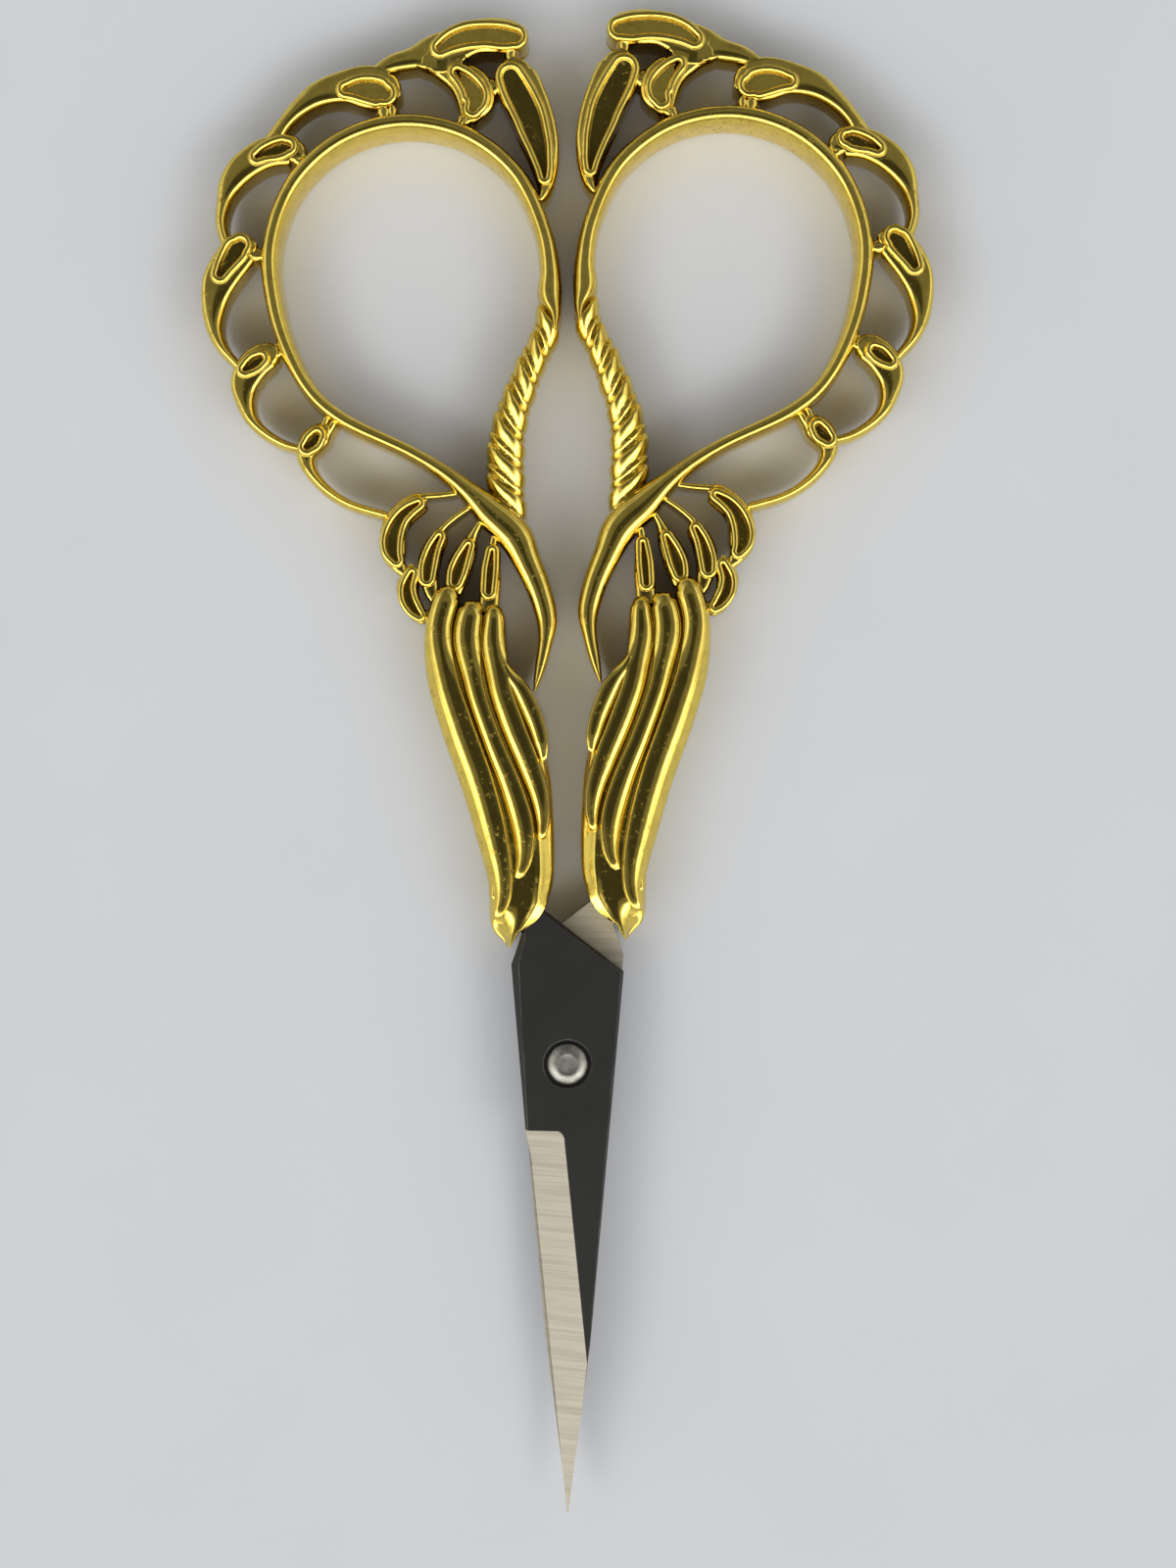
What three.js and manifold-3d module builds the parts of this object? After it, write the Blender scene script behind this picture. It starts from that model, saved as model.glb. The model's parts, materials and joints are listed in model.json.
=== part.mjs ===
import * as THREE from "three";
import { mergeVertices } from "three/addons/utils/BufferGeometryUtils.js";
import Module from "manifold-3d";

// Embroidery scissors, closed. Millimetres: X across, Y from the points to the bows, Z through the thickness.
// Each half is laid out from the pivot, on the plane where the two blades meet. The left half is drawn, and
// the right half is the same casting and the same blade turned over.

// Blades
const bladeThickness = 1.5;
const bladeGap = 0.1;
const bladeReach = 37.1;
const shoulderReach = 7.5;
const shoulderHalf = 4.6;
const shoulderRise = 0.78;
const cornerInset = 0.3;
const cornerRise = 0.9;
const cornerDrop = 0.2;
const neckRise = 1;
const sideTaper = 0.09;
const pointLength = 14.2;
const pointWidth = 0.08;
const bevelStart = 5.4;
const heelDrop = 0.5;
const choilLength = 2.1;
const bevelRunOut = 0.7;
const bevelWidth = 2.9;
const edgeTaper = 0.102;
const edgeLand = 0.12;
const bladeChamfer = 0.35;
const rearStagger = 0.7;

// Tang, cast into the shank and locked by a post
const tangWidth = 2.2;
const tangLength = 13.8;
const tangLean = 0.12;
const tangInset = 1.9;
const tangClearance = 0.1;
const postDiameter = 0.9;
const postInset = 9.3;

// Rivet
const rivetHead = 3.36;
const rivetShank = 2.2;
const rivetRise = 0.35;
const rivetLip = 0.12;
const rivetDish = 1.6;
const dishDepth = 0.1;
const rivetClearance = 0.1;
const recessDiameter = 3.92;
const recessDepth = 0.35;

// Bow and shank
const handleThickness = 4.8;
const bowSpread = 1.7;
const bowReach = 65.6;
const bowRadius = 11.3;
const bowBand = 1.6;
const footOffset = 4.8;
const footReach = 9.7;
const shankThickness = 4.3;
const shankRound = 0.9;

// Ornament, drawn on a grid of this pitch
const gridPitch = 1;
const borderThickness = 3.3;
const borderChamfer = 0.3;
const cellDepth = 0.45;
const cellRim = 0.45;
const cellLeast = 0.12;
const cellEnd = 0.14;
const fanThickness = 3;
const featherSink = 0.1;
const leafStart = 0.72;
const leafSink = 0.35;
const ropeThickness = 4.2;
const ropeStrands = 2;
const ropeTurns = 3.4;
const ropeGroove = 0.2;

// Facets: steps along the strokes and sides of the round pieces
const ringSteps = 36;
const ropeSteps = 28;
const ropeSides = 10;
const scrollSteps = 9;
const webSteps = 4;
const cellSteps = 5;
const petalSteps = 6;
const featherSteps = 10;
const roundSides = 24;
const postSides = 12;
const neckSides = 8;
const domeSteps = 4;

// Worked out from the sizes above
const innerFace = bladeGap / 2;
const outerFace = innerFace + bladeThickness;
const tangReach = footReach + tangLength;
const postReach = footReach + postInset;
const halfHandle = handleThickness / 2;
const halfBorder = borderThickness / 2;
const halfBand = bowBand / 2;
const bowOffset = bowRadius + bowSpread;

const wasm = await Module();
wasm.setup();

// A closed three.js geometry as a solid that can be joined and cut.
function solidOf(geometry) {
  const bare = new THREE.BufferGeometry();
  bare.setAttribute("position", geometry.getAttribute("position"));
  bare.setIndex(geometry.index);
  const merged = mergeVertices(bare);
  return new wasm.Manifold(
    new wasm.Mesh({
      numProp: 3,
      vertProperties: new Float32Array(merged.attributes.position.array),
      triVerts: new Uint32Array(merged.index.array),
    }),
  );
}

// A finished solid as a named mesh.
function meshOf(solid, name, material) {
  const { numProp, vertProperties, triVerts } = solid.getMesh();
  const geometry = new THREE.BufferGeometry();
  geometry.setAttribute("position", new THREE.BufferAttribute(vertProperties, numProp));
  geometry.setIndex(new THREE.BufferAttribute(triVerts, 1));
  geometry.computeVertexNormals();
  const mesh = new THREE.Mesh(geometry, material);
  mesh.name = name;
  return mesh;
}

function joined(solids) {
  return solids.reduce((whole, next) => whole.add(next));
}

function shapeOf(points) {
  return new THREE.Shape(points.map(([x, y]) => new THREE.Vector2(x, y)));
}

// A plate of the outline, from z = low to z = high, grown all round by the given amount.
function plate(shape, low, high, grow = 0) {
  const geometry = new THREE.ExtrudeGeometry(shape, {
    depth: high - low,
    bevelEnabled: grow > 0,
    bevelThickness: grow,
    bevelSize: 0,
    bevelOffset: grow,
    bevelSegments: 1,
  });
  return solidOf(geometry.translate(0, 0, low));
}

function turned(profile) {
  const points = profile.map(([r, z]) => new THREE.Vector2(r, z));
  return solidOf(new THREE.LatheGeometry(points, roundSides).rotateX(Math.PI / 2));
}

function cylinder(diameter, low, high, x, y, sides) {
  const geometry = new THREE.CylinderGeometry(diameter / 2, diameter / 2, high - low, sides);
  return solidOf(geometry.rotateX(Math.PI / 2).translate(x, y, (low + high) / 2));
}

// A closed skin over rings of points, with flat ends.
function skin(rings) {
  const sides = rings[0].length;
  const last = (rings.length - 1) * sides;
  const faces = [];
  for (let i = 0; i + 1 < rings.length; i += 1) {
    for (let j = 0; j < sides; j += 1) {
      const a = i * sides + j;
      const b = i * sides + ((j + 1) % sides);
      faces.push(a, b, b + sides, a, b + sides, a + sides);
    }
  }
  for (let j = 1; j + 1 < sides; j += 1) {
    faces.push(0, j + 1, j, last, last + j, last + j + 1);
  }
  const geometry = new THREE.BufferGeometry().setFromPoints(rings.flat());
  geometry.setIndex(faces);
  return solidOf(geometry);
}

// A stroke: a section carried along stations, each a point whose z is the stroke's width there.
// The section gives [sideways, up] points for a half width at a share of the length.
function stroke(stations, steps, section, from = 0, to = 1) {
  const line = new THREE.CatmullRomCurve3(stations, false, "centripetal");
  const rings = [];
  for (let i = 0; i <= steps; i += 1) {
    const share = i / steps;
    const t = from + (to - from) * share;
    const { x, y, z } = line.getPoint(t);
    const along = line.getTangent(t);
    const length = Math.hypot(along.x, along.y);
    const side = [-along.y / length, along.x / length];
    rings.push(
      section(z / 2, share).map(([u, v]) => new THREE.Vector3(x + side[0] * u, y + side[1] * u, v)),
    );
  }
  return skin(rings);
}

// A flat-topped section with chamfered edges.
function flatSection(top) {
  return (half) => {
    const c = Math.min(borderChamfer, half / 2);
    return [
      [half, c - top],
      [half, top - c],
      [half - c, top],
      [c - half, top],
      [-half, top - c],
      [-half, c - top],
      [c - half, -top],
      [half - c, -top],
    ];
  };
}

// Quarters of crowned sections, as shares of the half width and the half thickness.
const roundCrown = [
  [1, 0.45],
  [0.74, 0.82],
  [0.3, 1],
];
const featherCrown = [
  [1, 0.5],
  [0.42, 1],
];

// A crowned section with a narrow flat on top and below. The crown may sink along the stroke.
function crownSection(quarter, top, sink) {
  const mirrored = [...quarter].reverse();
  return (half, share) => {
    const height = top * sink(share);
    return [
      ...quarter.map(([u, v]) => [u * half, v * height]),
      ...mirrored.map(([u, v]) => [-u * half, v * height]),
      ...quarter.map(([u, v]) => [-u * half, -v * height]),
      ...mirrored.map(([u, v]) => [u * half, -v * height]),
    ];
  };
}

// A twisted section: rounded strands with sharp grooves between them, alike on both faces.
function ropeSection(top) {
  return (half, share) => {
    const phase = share * ropeTurns * Math.PI * 2;
    return Array.from({ length: ropeSides }, (_, i) => {
      const angle = (i / ropeSides) * Math.PI * 2;
      const folded = Math.min(angle, Math.PI * 2 - angle);
      const strand = Math.abs(Math.cos(((folded + phase) * ropeStrands) / 2));
      const r = 1 - ropeGroove + ropeGroove * strand;
      return [Math.cos(angle) * r * half, Math.sin(angle) * r * top];
    });
  };
}

// Stations round the bow: an angle from +X, a distance out from the ring's centre line, a width.
function bow(angle, out, width) {
  const a = THREE.MathUtils.degToRad(angle);
  const r = bowRadius + out * gridPitch;
  return new THREE.Vector3(r * Math.cos(a) - bowOffset, r * Math.sin(a) + bowReach, width * gridPitch);
}

// Stations of the ring itself: as round the bow, with what the width differs by from the band's.
function band(angle, out, extra) {
  const station = bow(angle, out, extra);
  station.z += bowBand;
  return station;
}

// Stations by the ring's outer edge: an angle, a distance out from the edge, a width.
function edge(angle, out, width) {
  return bow(angle, out + halfBand / gridPitch, width);
}

// Stations of the wing: a place from the shank's foot, a width.
function wing(x, y, width) {
  return new THREE.Vector3(x * gridPitch - footOffset, y * gridPitch + footReach, width * gridPitch);
}

// The finger ring runs up from the knuckle, round the bow and down across the handle, and ends as a leaf.
function ring() {
  const stations = [band(-13.5, 0.5, 0.5), band(-3.5, 0.3, 0.2)];
  for (let angle = 12; angle <= 174; angle += 27) {
    stations.push(band(angle, 0, 0));
  }
  stations.push(
    band(198, 0.2, 0),
    band(218, 1, -0.1),
    band(234.5, 2.1, -0.2),
    band(247, 2.7, -0.2),
    wing(-7.9, 40.2, 1.3),
    wing(-5.2, 38.6, 1.5),
    wing(-3.3, 37.1, 1.9),
    wing(-1.5, 35.4, 2.7),
    wing(0.5, 33.5, 2.9),
    wing(1.5, 31.4, 2.4),
    wing(2.5, 29, 2.1),
    wing(3.1, 26.6, 1.8),
    wing(3, 24.9, 1.3),
    wing(2.5, 22.4, 0.9),
    wing(2.1, 20.8, 0.3),
  );
  const sink = (share) => 1 - leafSink * THREE.MathUtils.smoothstep(share, leafStart, 1);
  return stroke(stations, ringSteps, crownSection(roundCrown, halfHandle, sink));
}

// The twisted rope from the knuckle to the crossing.
function rope() {
  const stations = [
    bow(-14, 0.6, 2),
    bow(-27.5, 1.3, 2.2),
    bow(-38.5, 1.6, 2.3),
    bow(-47.5, 2.4, 2.5),
    wing(0.3, 43.7, 2.7),
    wing(-0.2, 41.5, 3),
    wing(-0.3, 39.2, 3.1),
    wing(-0.2, 37, 3),
    wing(0.2, 34.8, 2.6),
  ];
  return stroke(stations, ropeSteps, ropeSection(ropeThickness / 2));
}

// The scrolls of the pierced border. Each has a round head by the ring and a tail along the outside, and a
// sunk cell over a share of its length, moved sideways towards the ring.
const scrolls = [
  {
    line: [
      bow(97, 4.6, 1.3),
      bow(89, 5.2, 1.4),
      bow(84, 5.8, 2.5),
      bow(78.5, 6.7, 2.9),
      bow(73.5, 7.9, 2.8),
      bow(68.5, 8.6, 2.9),
      bow(64, 9, 2.6),
      bow(61.5, 9.1, 1),
    ],
    cell: [0.36, 0.93, 0],
  },
  {
    line: [
      bow(75, 5.1, 1.1),
      bow(72, 4.7, 2.1),
      bow(68.5, 3.9, 2.6),
      bow(66.6, 2.9, 2.4),
      bow(66.6, 1.9, 1.6),
      edge(67.5, -0.1, 0.8),
    ],
    cell: [0.12, 0.86, 0],
  },
  {
    line: [
      bow(63, 7.6, 1.4),
      bow(60.5, 6.4, 3.2),
      bow(57.4, 5.6, 3.7),
      bow(52.4, 4.8, 3.6),
      bow(46.2, 3.9, 3.2),
      bow(39.9, 3.1, 2.6),
      bow(33.7, 2.3, 1.8),
      bow(27.7, 1.3, 1.2),
      edge(24.5, -0.4, 0.6),
    ],
    cell: [0.06, 0.76, 0],
  },
  {
    line: [
      bow(92.5, 2.8, 1.1),
      bow(96, 3.2, 2.9),
      bow(103, 3.5, 3.4),
      bow(111, 4, 2.6),
      bow(118.5, 4.3, 2.1),
      bow(126, 4.3, 1.6),
      bow(132, 4.2, 1.4),
      bow(142, 3.8, 1.2),
    ],
    cell: [0.07, 0.44, 0.4],
  },
  {
    line: [
      bow(134.5, 1.7, 1.1),
      bow(137, 2.3, 2.2),
      bow(143, 3.4, 2.6),
      bow(149.5, 4.2, 2.4),
      bow(156.8, 4.65, 1.9),
      bow(162, 4.6, 1.3),
      bow(168, 4.4, 1),
      bow(174, 3.9, 0.95),
    ],
    cell: [0.06, 0.42, 0],
  },
  {
    line: [
      bow(172.5, 1.2, 0.8),
      bow(174.5, 2, 2.4),
      bow(179, 3, 3),
      bow(185.5, 4.2, 2.8),
      bow(192, 5, 2.1),
      bow(198.5, 5.5, 1.4),
      bow(204.5, 5.5, 1),
      bow(211, 5.1, 0.8),
    ],
    cell: [0.1, 0.5, 0],
  },
  {
    line: [
      bow(214.5, 2.1, 0.8),
      bow(213.5, 3.1, 1.8),
      bow(213.5, 4.4, 2.2),
      bow(216.5, 5.6, 2),
      bow(221, 6.4, 1.5),
      bow(225, 6.9, 1.1),
      bow(230, 7, 0.9),
      bow(235.5, 6.8, 0.8),
      bow(240, 6.4, 0.7),
    ],
    cell: [0.08, 0.34, 0],
  },
  {
    line: [
      bow(244.5, 3.9, 0.8),
      bow(242.5, 4.7, 1.6),
      bow(241, 5.7, 1.8),
      bow(241.5, 6.7, 1.2),
      bow(244.5, 7.6, 1),
      bow(250, 8.5, 0.9),
      bow(256, 9.1, 0.8),
      wing(-9.9, 35.1, 0.8),
    ],
    cell: [0.08, 0.34, 0],
  },
];

// Where the heads of the scrolls meet the ring.
const necks = [
  edge(68.5, 0.3, 1.3),
  edge(97, 0.5, 1.3),
  edge(138, 0.3, 1.3),
  edge(176, 0.4, 1.3),
  edge(214, 1.4, 1.3),
  edge(243.5, 2.9, 1.3),
];

// The bridge from the drop of the crest to its petal, and the web from the crest down to the drop.
const crestBridge = [bow(67.8, 3.2, 1.1), bow(58.4, 4.5, 1.1)];
const crestWeb = [
  bow(87.6, 4.7, 0.6),
  bow(83, 4.8, 1.3),
  bow(78.7, 4.4, 1.6),
  bow(74.8, 3.5, 1.2),
  bow(71.6, 2.3, 0.7),
];

// The petals of the fan hang from the leaf on thin stems and stand on the feathers.
const petals = [
  [
    wing(-4.3, 37, 0.5),
    wing(-5.9, 36.4, 0.5),
    wing(-7.4, 36.2, 0.6),
    wing(-8.6, 35.6, 1.1),
    wing(-9.3, 34.6, 1.7),
    wing(-9.5, 33.2, 1.9),
    wing(-9.4, 32, 1.8),
    wing(-9, 31, 1.2),
    wing(-8.5, 30.3, 0.9),
  ],
  [
    wing(-7.9, 31.2, 0.7),
    wing(-8.2, 30.2, 1.3),
    wing(-8.5, 29.2, 1.4),
    wing(-8.3, 28.2, 1.3),
    wing(-7.6, 27.3, 1.1),
    wing(-6.2, 26.8, 0.8),
  ],
  [
    wing(-2.9, 36, 0.4),
    wing(-4.4, 35, 0.45),
    wing(-5.5, 34, 0.5),
    wing(-6.2, 32.8, 1.3),
    wing(-6.6, 31.4, 1.7),
    wing(-6.6, 30.3, 1.6),
    wing(-6.1, 28, 0.9),
  ],
  [
    wing(-2.1, 35, 0.4),
    wing(-2.9, 33.6, 0.7),
    wing(-3.4, 32.4, 1.6),
    wing(-4, 31, 2),
    wing(-4.3, 29.8, 1.7),
    wing(-4.5, 28.2, 0.9),
  ],
  [
    wing(-1.1, 34, 0.4),
    wing(-1.4, 32, 0.9),
    wing(-1.4, 30.8, 1.4),
    wing(-1.5, 29.4, 1.6),
    wing(-1.7, 27, 1.6),
  ],
];

// The feathers lie side by side along the wing and run out on the shank.
const feathers = [
  [
    wing(-4.6, 29.4, 0.8),
    wing(-5.1, 28.2, 2),
    wing(-5.7, 25.6, 2.4),
    wing(-5.4, 22, 2.6),
    wing(-4.2, 18, 2.8),
    wing(-2.5, 13.2, 2.8),
    wing(-1.3, 8.8, 2.6),
    wing(-0.7, 5.6, 2.1),
    wing(-0.6, 3.8, 1.6),
    wing(-1.2, 1.9, 0.3),
  ],
  [
    wing(-2.7, 28.2, 0.8),
    wing(-3.1, 27, 2),
    wing(-3.4, 24.8, 2.6),
    wing(-3, 21.2, 2.1),
    wing(-1.4, 16.4, 2.1),
    wing(-0.1, 13.2, 2.3),
    wing(0.9, 10, 2.4),
    wing(1.1, 8.2, 2.1),
    wing(1, 6.8, 1.4),
    wing(0.6, 5.4, 0.3),
  ],
  [
    wing(-1.2, 27.7, 0.8),
    wing(-1.2, 26.5, 1.7),
    wing(-1.3, 24, 2.3),
    wing(-0.9, 21, 2.4),
    wing(0.1, 18, 2.5),
    wing(1.4, 14.8, 2.4),
    wing(2.3, 12.2, 2),
    wing(2.6, 10.2, 1.4),
    wing(2.6, 8.4, 0.3),
  ],
  [
    wing(-0.5, 23.4, 0.4),
    wing(0.1, 22, 1.4),
    wing(1.2, 20.1, 2),
    wing(2, 18, 1.9),
    wing(2.5, 16.4, 1.6),
    wing(2.8, 14.8, 0.3),
  ],
];

// Sunk cells on both faces of a scroll, round at their ends, with a rim left standing.
function cells({ line, cell: [from, to, shift] }) {
  const middle = (shift * gridPitch) / 2;
  return [1, -1].map((face) => {
    const section = (half, share) => {
      const round = Math.sqrt(1 - (1 - cellEnd ** 2) * Math.abs(2 * share - 1) ** 3);
      const reach = Math.max(half - cellRim - middle, cellLeast) * round;
      const floor = face * (halfBorder - cellDepth);
      const open = face * (halfBorder + cellDepth);
      const low = Math.min(floor, open);
      const high = Math.max(floor, open);
      return [
        [middle + reach, low],
        [middle + reach, high],
        [middle - reach, high],
        [middle - reach, low],
      ];
    };
    return stroke(line, cellSteps, section, from, to);
  });
}

// The shank under the feathers, with rounded edges and a slanted mouth where the blade comes out.
function shank() {
  const outline = [
    [-3.9, 14],
    [-2.9, 10],
    [-1.8, 5.6],
    [-1.8, 1.6],
    [-0.1, -0.2],
    [1.3, 1],
    [2.5, 2.6],
    [3.2, 3.8],
    [3.7, 5.6],
    [3.7, 10],
    [3.3, 15.2],
    [0.1, 17.6],
  ].map(([x, y]) => [x * gridPitch - footOffset, y * gridPitch + footReach]);
  const geometry = new THREE.ExtrudeGeometry(shapeOf(outline), {
    depth: shankThickness - 2 * shankRound,
    bevelThickness: shankRound,
    bevelSize: shankRound,
    bevelOffset: -shankRound,
    bevelSegments: 2,
  });
  return solidOf(geometry.translate(0, 0, shankRound - shankThickness / 2));
}

function tangMiddle(y) {
  return tangInset - footOffset - tangLean * (y - footReach);
}

// One blade seen from its outer face, cutting edge on the left, its inner face on the parting plane.
function bladeOutline() {
  const edgeAt = (y) => -edgeTaper * (y + bladeReach);
  const sideAt = (y) => shoulderHalf - sideTaper * (shoulderReach - y);
  const breakReach = pointLength - bladeReach;
  const heel = -bevelStart - heelDrop;
  const choil = heel - choilLength;
  const tangAt = (y, side) => tangMiddle(y) + (side * tangWidth) / 2;
  const neckRight = shoulderReach + (shoulderHalf - tangAt(footReach, 1)) * shoulderRise;
  return [
    [0, -bladeReach],
    [sideAt(breakReach), breakReach],
    [shoulderHalf, shoulderReach],
    [tangAt(neckRight, 1), neckRight],
    [tangAt(tangReach, 1), tangReach],
    [tangAt(tangReach, -1), tangReach],
    [tangAt(footReach, -1), footReach + neckRise],
    [-shoulderHalf + cornerInset, shoulderReach + cornerRise],
    [-shoulderHalf, shoulderReach - cornerDrop],
    [-sideAt(heel), heel],
    [edgeAt(choil), choil],
    [-pointWidth, -bladeReach],
  ];
}

// The edges of the outline that are chamfered, by the points they start from: the far side from the break to
// the neck, and the near side from the neck to the heel.
const chamferedEdges = [1, 2, 6, 7, 8];

function blade(holeReach) {
  const outline = bladeOutline();
  const [low, high] = [innerFace - bladeThickness, outerFace + bladeThickness];
  const seat = outerFace - recessDepth;
  const hole = cylinder(rivetShank + 2 * rivetClearance, low, high, 0, holeReach, roundSides);
  const recess = cylinder(recessDiameter, seat, high, 0, holeReach, roundSides);
  const lockDiameter = postDiameter + 2 * tangClearance;
  const lock = cylinder(lockDiameter, low, high, tangMiddle(postReach), postReach, postSides);
  const chamfers = chamferedEdges.map((i) => edgeCutter(outline[i], outline[i + 1]));
  return plate(shapeOf(outline), innerFace, outerFace).subtract(
    joined([bevelCutter(), hole, recess, lock, ...chamfers]),
  );
}

// What a chamfer takes off the outer face along one edge of the outline, the plate being on its left.
function edgeCutter([ax, ay], [bx, by]) {
  const length = Math.hypot(bx - ax, by - ay);
  const [dx, dy] = [(bx - ax) / length, (by - ay) / length];
  const over = bladeThickness;
  const section = [
    [-over, outerFace - bladeChamfer - over],
    [-over, outerFace + over],
    [bladeChamfer + over, outerFace + over],
  ];
  const place = (along, u, z) => new THREE.Vector3(ax + dx * along - dy * u, ay + dy * along + dx * u, z);
  const ends = [-bladeChamfer, length + bladeChamfer];
  return skin(ends.map((along) => section.map(([u, z]) => place(along, u, z)).reverse()));
}

// What the wheel takes off the outer face: a plane from the bevel line down to the cutting edge, ending in a
// short ramp towards the pivot.
function bevelCutter() {
  const slope = (bladeThickness - edgeLand) / bevelWidth;
  const over = bladeThickness;
  const section = (y, depth) => {
    const edge = -edgeTaper * (y + bladeReach);
    const [left, right] = [edge - over, edge + bevelWidth + over];
    const floor = outerFace - depth * slope * (bevelWidth + over);
    return [
      new THREE.Vector3(left, y, floor),
      new THREE.Vector3(right, y, outerFace + depth * slope * over),
      new THREE.Vector3(right, y, outerFace + 2 * over),
      new THREE.Vector3(left, y, outerFace + 2 * over),
    ];
  };
  const plunge = -bevelStart - bevelRunOut;
  return skin([section(-bevelStart, 0), section(plunge, 1), section(-bladeReach - over, 1)]);
}

// The pocket that the casting keeps round the tang.
function tangPocket() {
  return plate(shapeOf(bladeOutline()), innerFace, outerFace, tangClearance);
}

function handle() {
  const land = flatSection(halfBorder);
  const border = scrolls.map(({ line }) => stroke(line, scrollSteps, land));
  const fan = petals.map((line) => stroke(line, petalSteps, flatSection(fanThickness / 2)));
  const runOut = (share) => 1 - featherSink * (1 - Math.sqrt(Math.sin(Math.PI * share)));
  const plume = crownSection(featherCrown, halfHandle, runOut);
  const plumage = feathers.map((line) => stroke(line, featherSteps, plume));
  const bridges = necks.map(({ x, y, z }) => cylinder(z, -halfBorder, halfBorder, x, y, neckSides));
  const [postLow, postHigh] = [innerFace - 2 * tangClearance, outerFace + 2 * tangClearance];
  const post = cylinder(postDiameter, postLow, postHigh, tangMiddle(postReach), postReach, postSides);
  return joined([...border, stroke(crestBridge, 1, land), stroke(crestWeb, webSteps, land)])
    .subtract(joined(scrolls.flatMap(cells)))
    .add(joined([ring(), rope(), shank(), ...fan, ...plumage, ...bridges]))
    .subtract(tangPocket())
    .add(post);
}

// The rivet has a domed head with a shallow dish on either side.
function rivet() {
  const seat = outerFace - recessDepth + rivetClearance / 2;
  const lip = seat + rivetLip;
  const crown = outerFace + rivetRise;
  const [head, dish] = [rivetHead / 2, rivetDish / 2];
  const dome = Array.from({ length: domeSteps + 1 }, (_, i) => {
    const angle = (i / domeSteps) * (Math.PI / 2);
    return [dish + (head - dish) * Math.cos(angle), lip + (crown - lip) * Math.sin(angle)];
  });
  const upper = [[rivetShank / 2, seat], [head, seat], ...dome, [0, crown - dishDepth]];
  const lower = upper.map(([r, z]) => [r, -z]).reverse();
  return turned([...lower, ...upper]);
}

const gold = { color: 0xcfa53a, roughness: 0.26, metalness: 1 };
const blackCoat = { color: 0x1c1d20, roughness: 0.42, metalness: 0.6 };
const steel = { color: 0xbfc3c6, roughness: 0.3, metalness: 1 };
const finish = (values) => new THREE.MeshStandardMaterial(values);

const casting = handle();

const frontHalf = new THREE.Group();
frontHalf.add(meshOf(casting, "left_handle", finish(gold)));
frontHalf.add(meshOf(blade(0), "front_blade", finish(blackCoat)));

const rearHalf = new THREE.Group();
const rightHandle = meshOf(casting, "right_handle", finish(gold));
rightHandle.rotation.y = Math.PI;
const rearBlade = meshOf(blade(-rearStagger), "rear_blade", finish(blackCoat));
rearBlade.rotation.y = Math.PI;
rearHalf.add(rightHandle, rearBlade);
rearHalf.position.y = rearStagger;

const pivotRivet = meshOf(rivet(), "pivot_rivet", finish(steel));

// The scissors lie flat with the middle of their box over the origin.
const scissors = new THREE.Group();
scissors.add(frontHalf, rearHalf, pivotRivet);
const middle = new THREE.Box3().setFromObject(scissors).getCenter(new THREE.Vector3());
scissors.children.forEach((half) => {
  half.position.x -= middle.x;
  half.position.y -= middle.y;
  half.position.z += halfHandle;
});

export default scissors;
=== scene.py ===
"""Embroidery scissors with pierced gold bows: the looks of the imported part, laid out as an add-on."""

import json
import math

import bmesh
import bpy
import numpy as np
from bpy.props import FloatProperty, FloatVectorProperty, PointerProperty
from mathutils import Matrix, Vector


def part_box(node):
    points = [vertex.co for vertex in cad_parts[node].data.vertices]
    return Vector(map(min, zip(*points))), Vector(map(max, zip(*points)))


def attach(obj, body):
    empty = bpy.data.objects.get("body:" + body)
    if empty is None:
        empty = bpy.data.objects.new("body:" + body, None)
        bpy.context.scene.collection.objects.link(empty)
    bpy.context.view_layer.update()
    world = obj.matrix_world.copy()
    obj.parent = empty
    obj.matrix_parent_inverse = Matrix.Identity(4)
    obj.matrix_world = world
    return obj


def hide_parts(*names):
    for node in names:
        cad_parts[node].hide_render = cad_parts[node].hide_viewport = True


bl_info = {
    "name": "Embroidery Scissors",
    "version": (1, 0, 0),
    "blender": (4, 5, 0),
    "location": "View3D > Sidebar > Scissors",
    "description": "Dresses riveted embroidery scissors with cast gold bows and black blades",
    "category": "Object",
}

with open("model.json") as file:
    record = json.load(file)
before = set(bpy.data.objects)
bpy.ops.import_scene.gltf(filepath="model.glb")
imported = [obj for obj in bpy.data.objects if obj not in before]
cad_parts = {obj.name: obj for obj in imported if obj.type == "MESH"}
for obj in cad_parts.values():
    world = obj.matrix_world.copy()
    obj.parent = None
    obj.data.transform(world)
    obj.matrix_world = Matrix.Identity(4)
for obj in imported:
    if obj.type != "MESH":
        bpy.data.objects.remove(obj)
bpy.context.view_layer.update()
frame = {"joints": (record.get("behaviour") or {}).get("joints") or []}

# Lengths of the drawing are millimetres from the pivot, on the plane where the two blades meet.
MM = 0.001
PIVOT = Vector(frame["joints"][0]["pos_m"])
STAGGER = (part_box("right_handle")[1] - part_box("left_handle")[1]).y
HALF_HANDLE = (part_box("left_handle")[1].z - PIVOT.z) / MM
INNER_FACE = (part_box("front_blade")[0].z - PIVOT.z) / MM
OUTER_FACE = (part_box("front_blade")[1].z - PIVOT.z) / MM
BLADE_REACH = (PIVOT.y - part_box("front_blade")[0].y) / MM
SHOULDER_HALF = (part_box("front_blade")[1].x - PIVOT.x) / MM
RIVET_HEAD = (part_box("pivot_rivet")[1].x - PIVOT.x) / MM
RIVET_CROWN = (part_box("pivot_rivet")[1].z - PIVOT.z) / MM

# The bow's ring and the foot of the shank, from the pivot
BOW_RADIUS = 11.3
BOW_OFFSET = 13.0
BOW_REACH = 65.6
FOOT_OFFSET = 4.8
FOOT_REACH = 9.7


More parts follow.
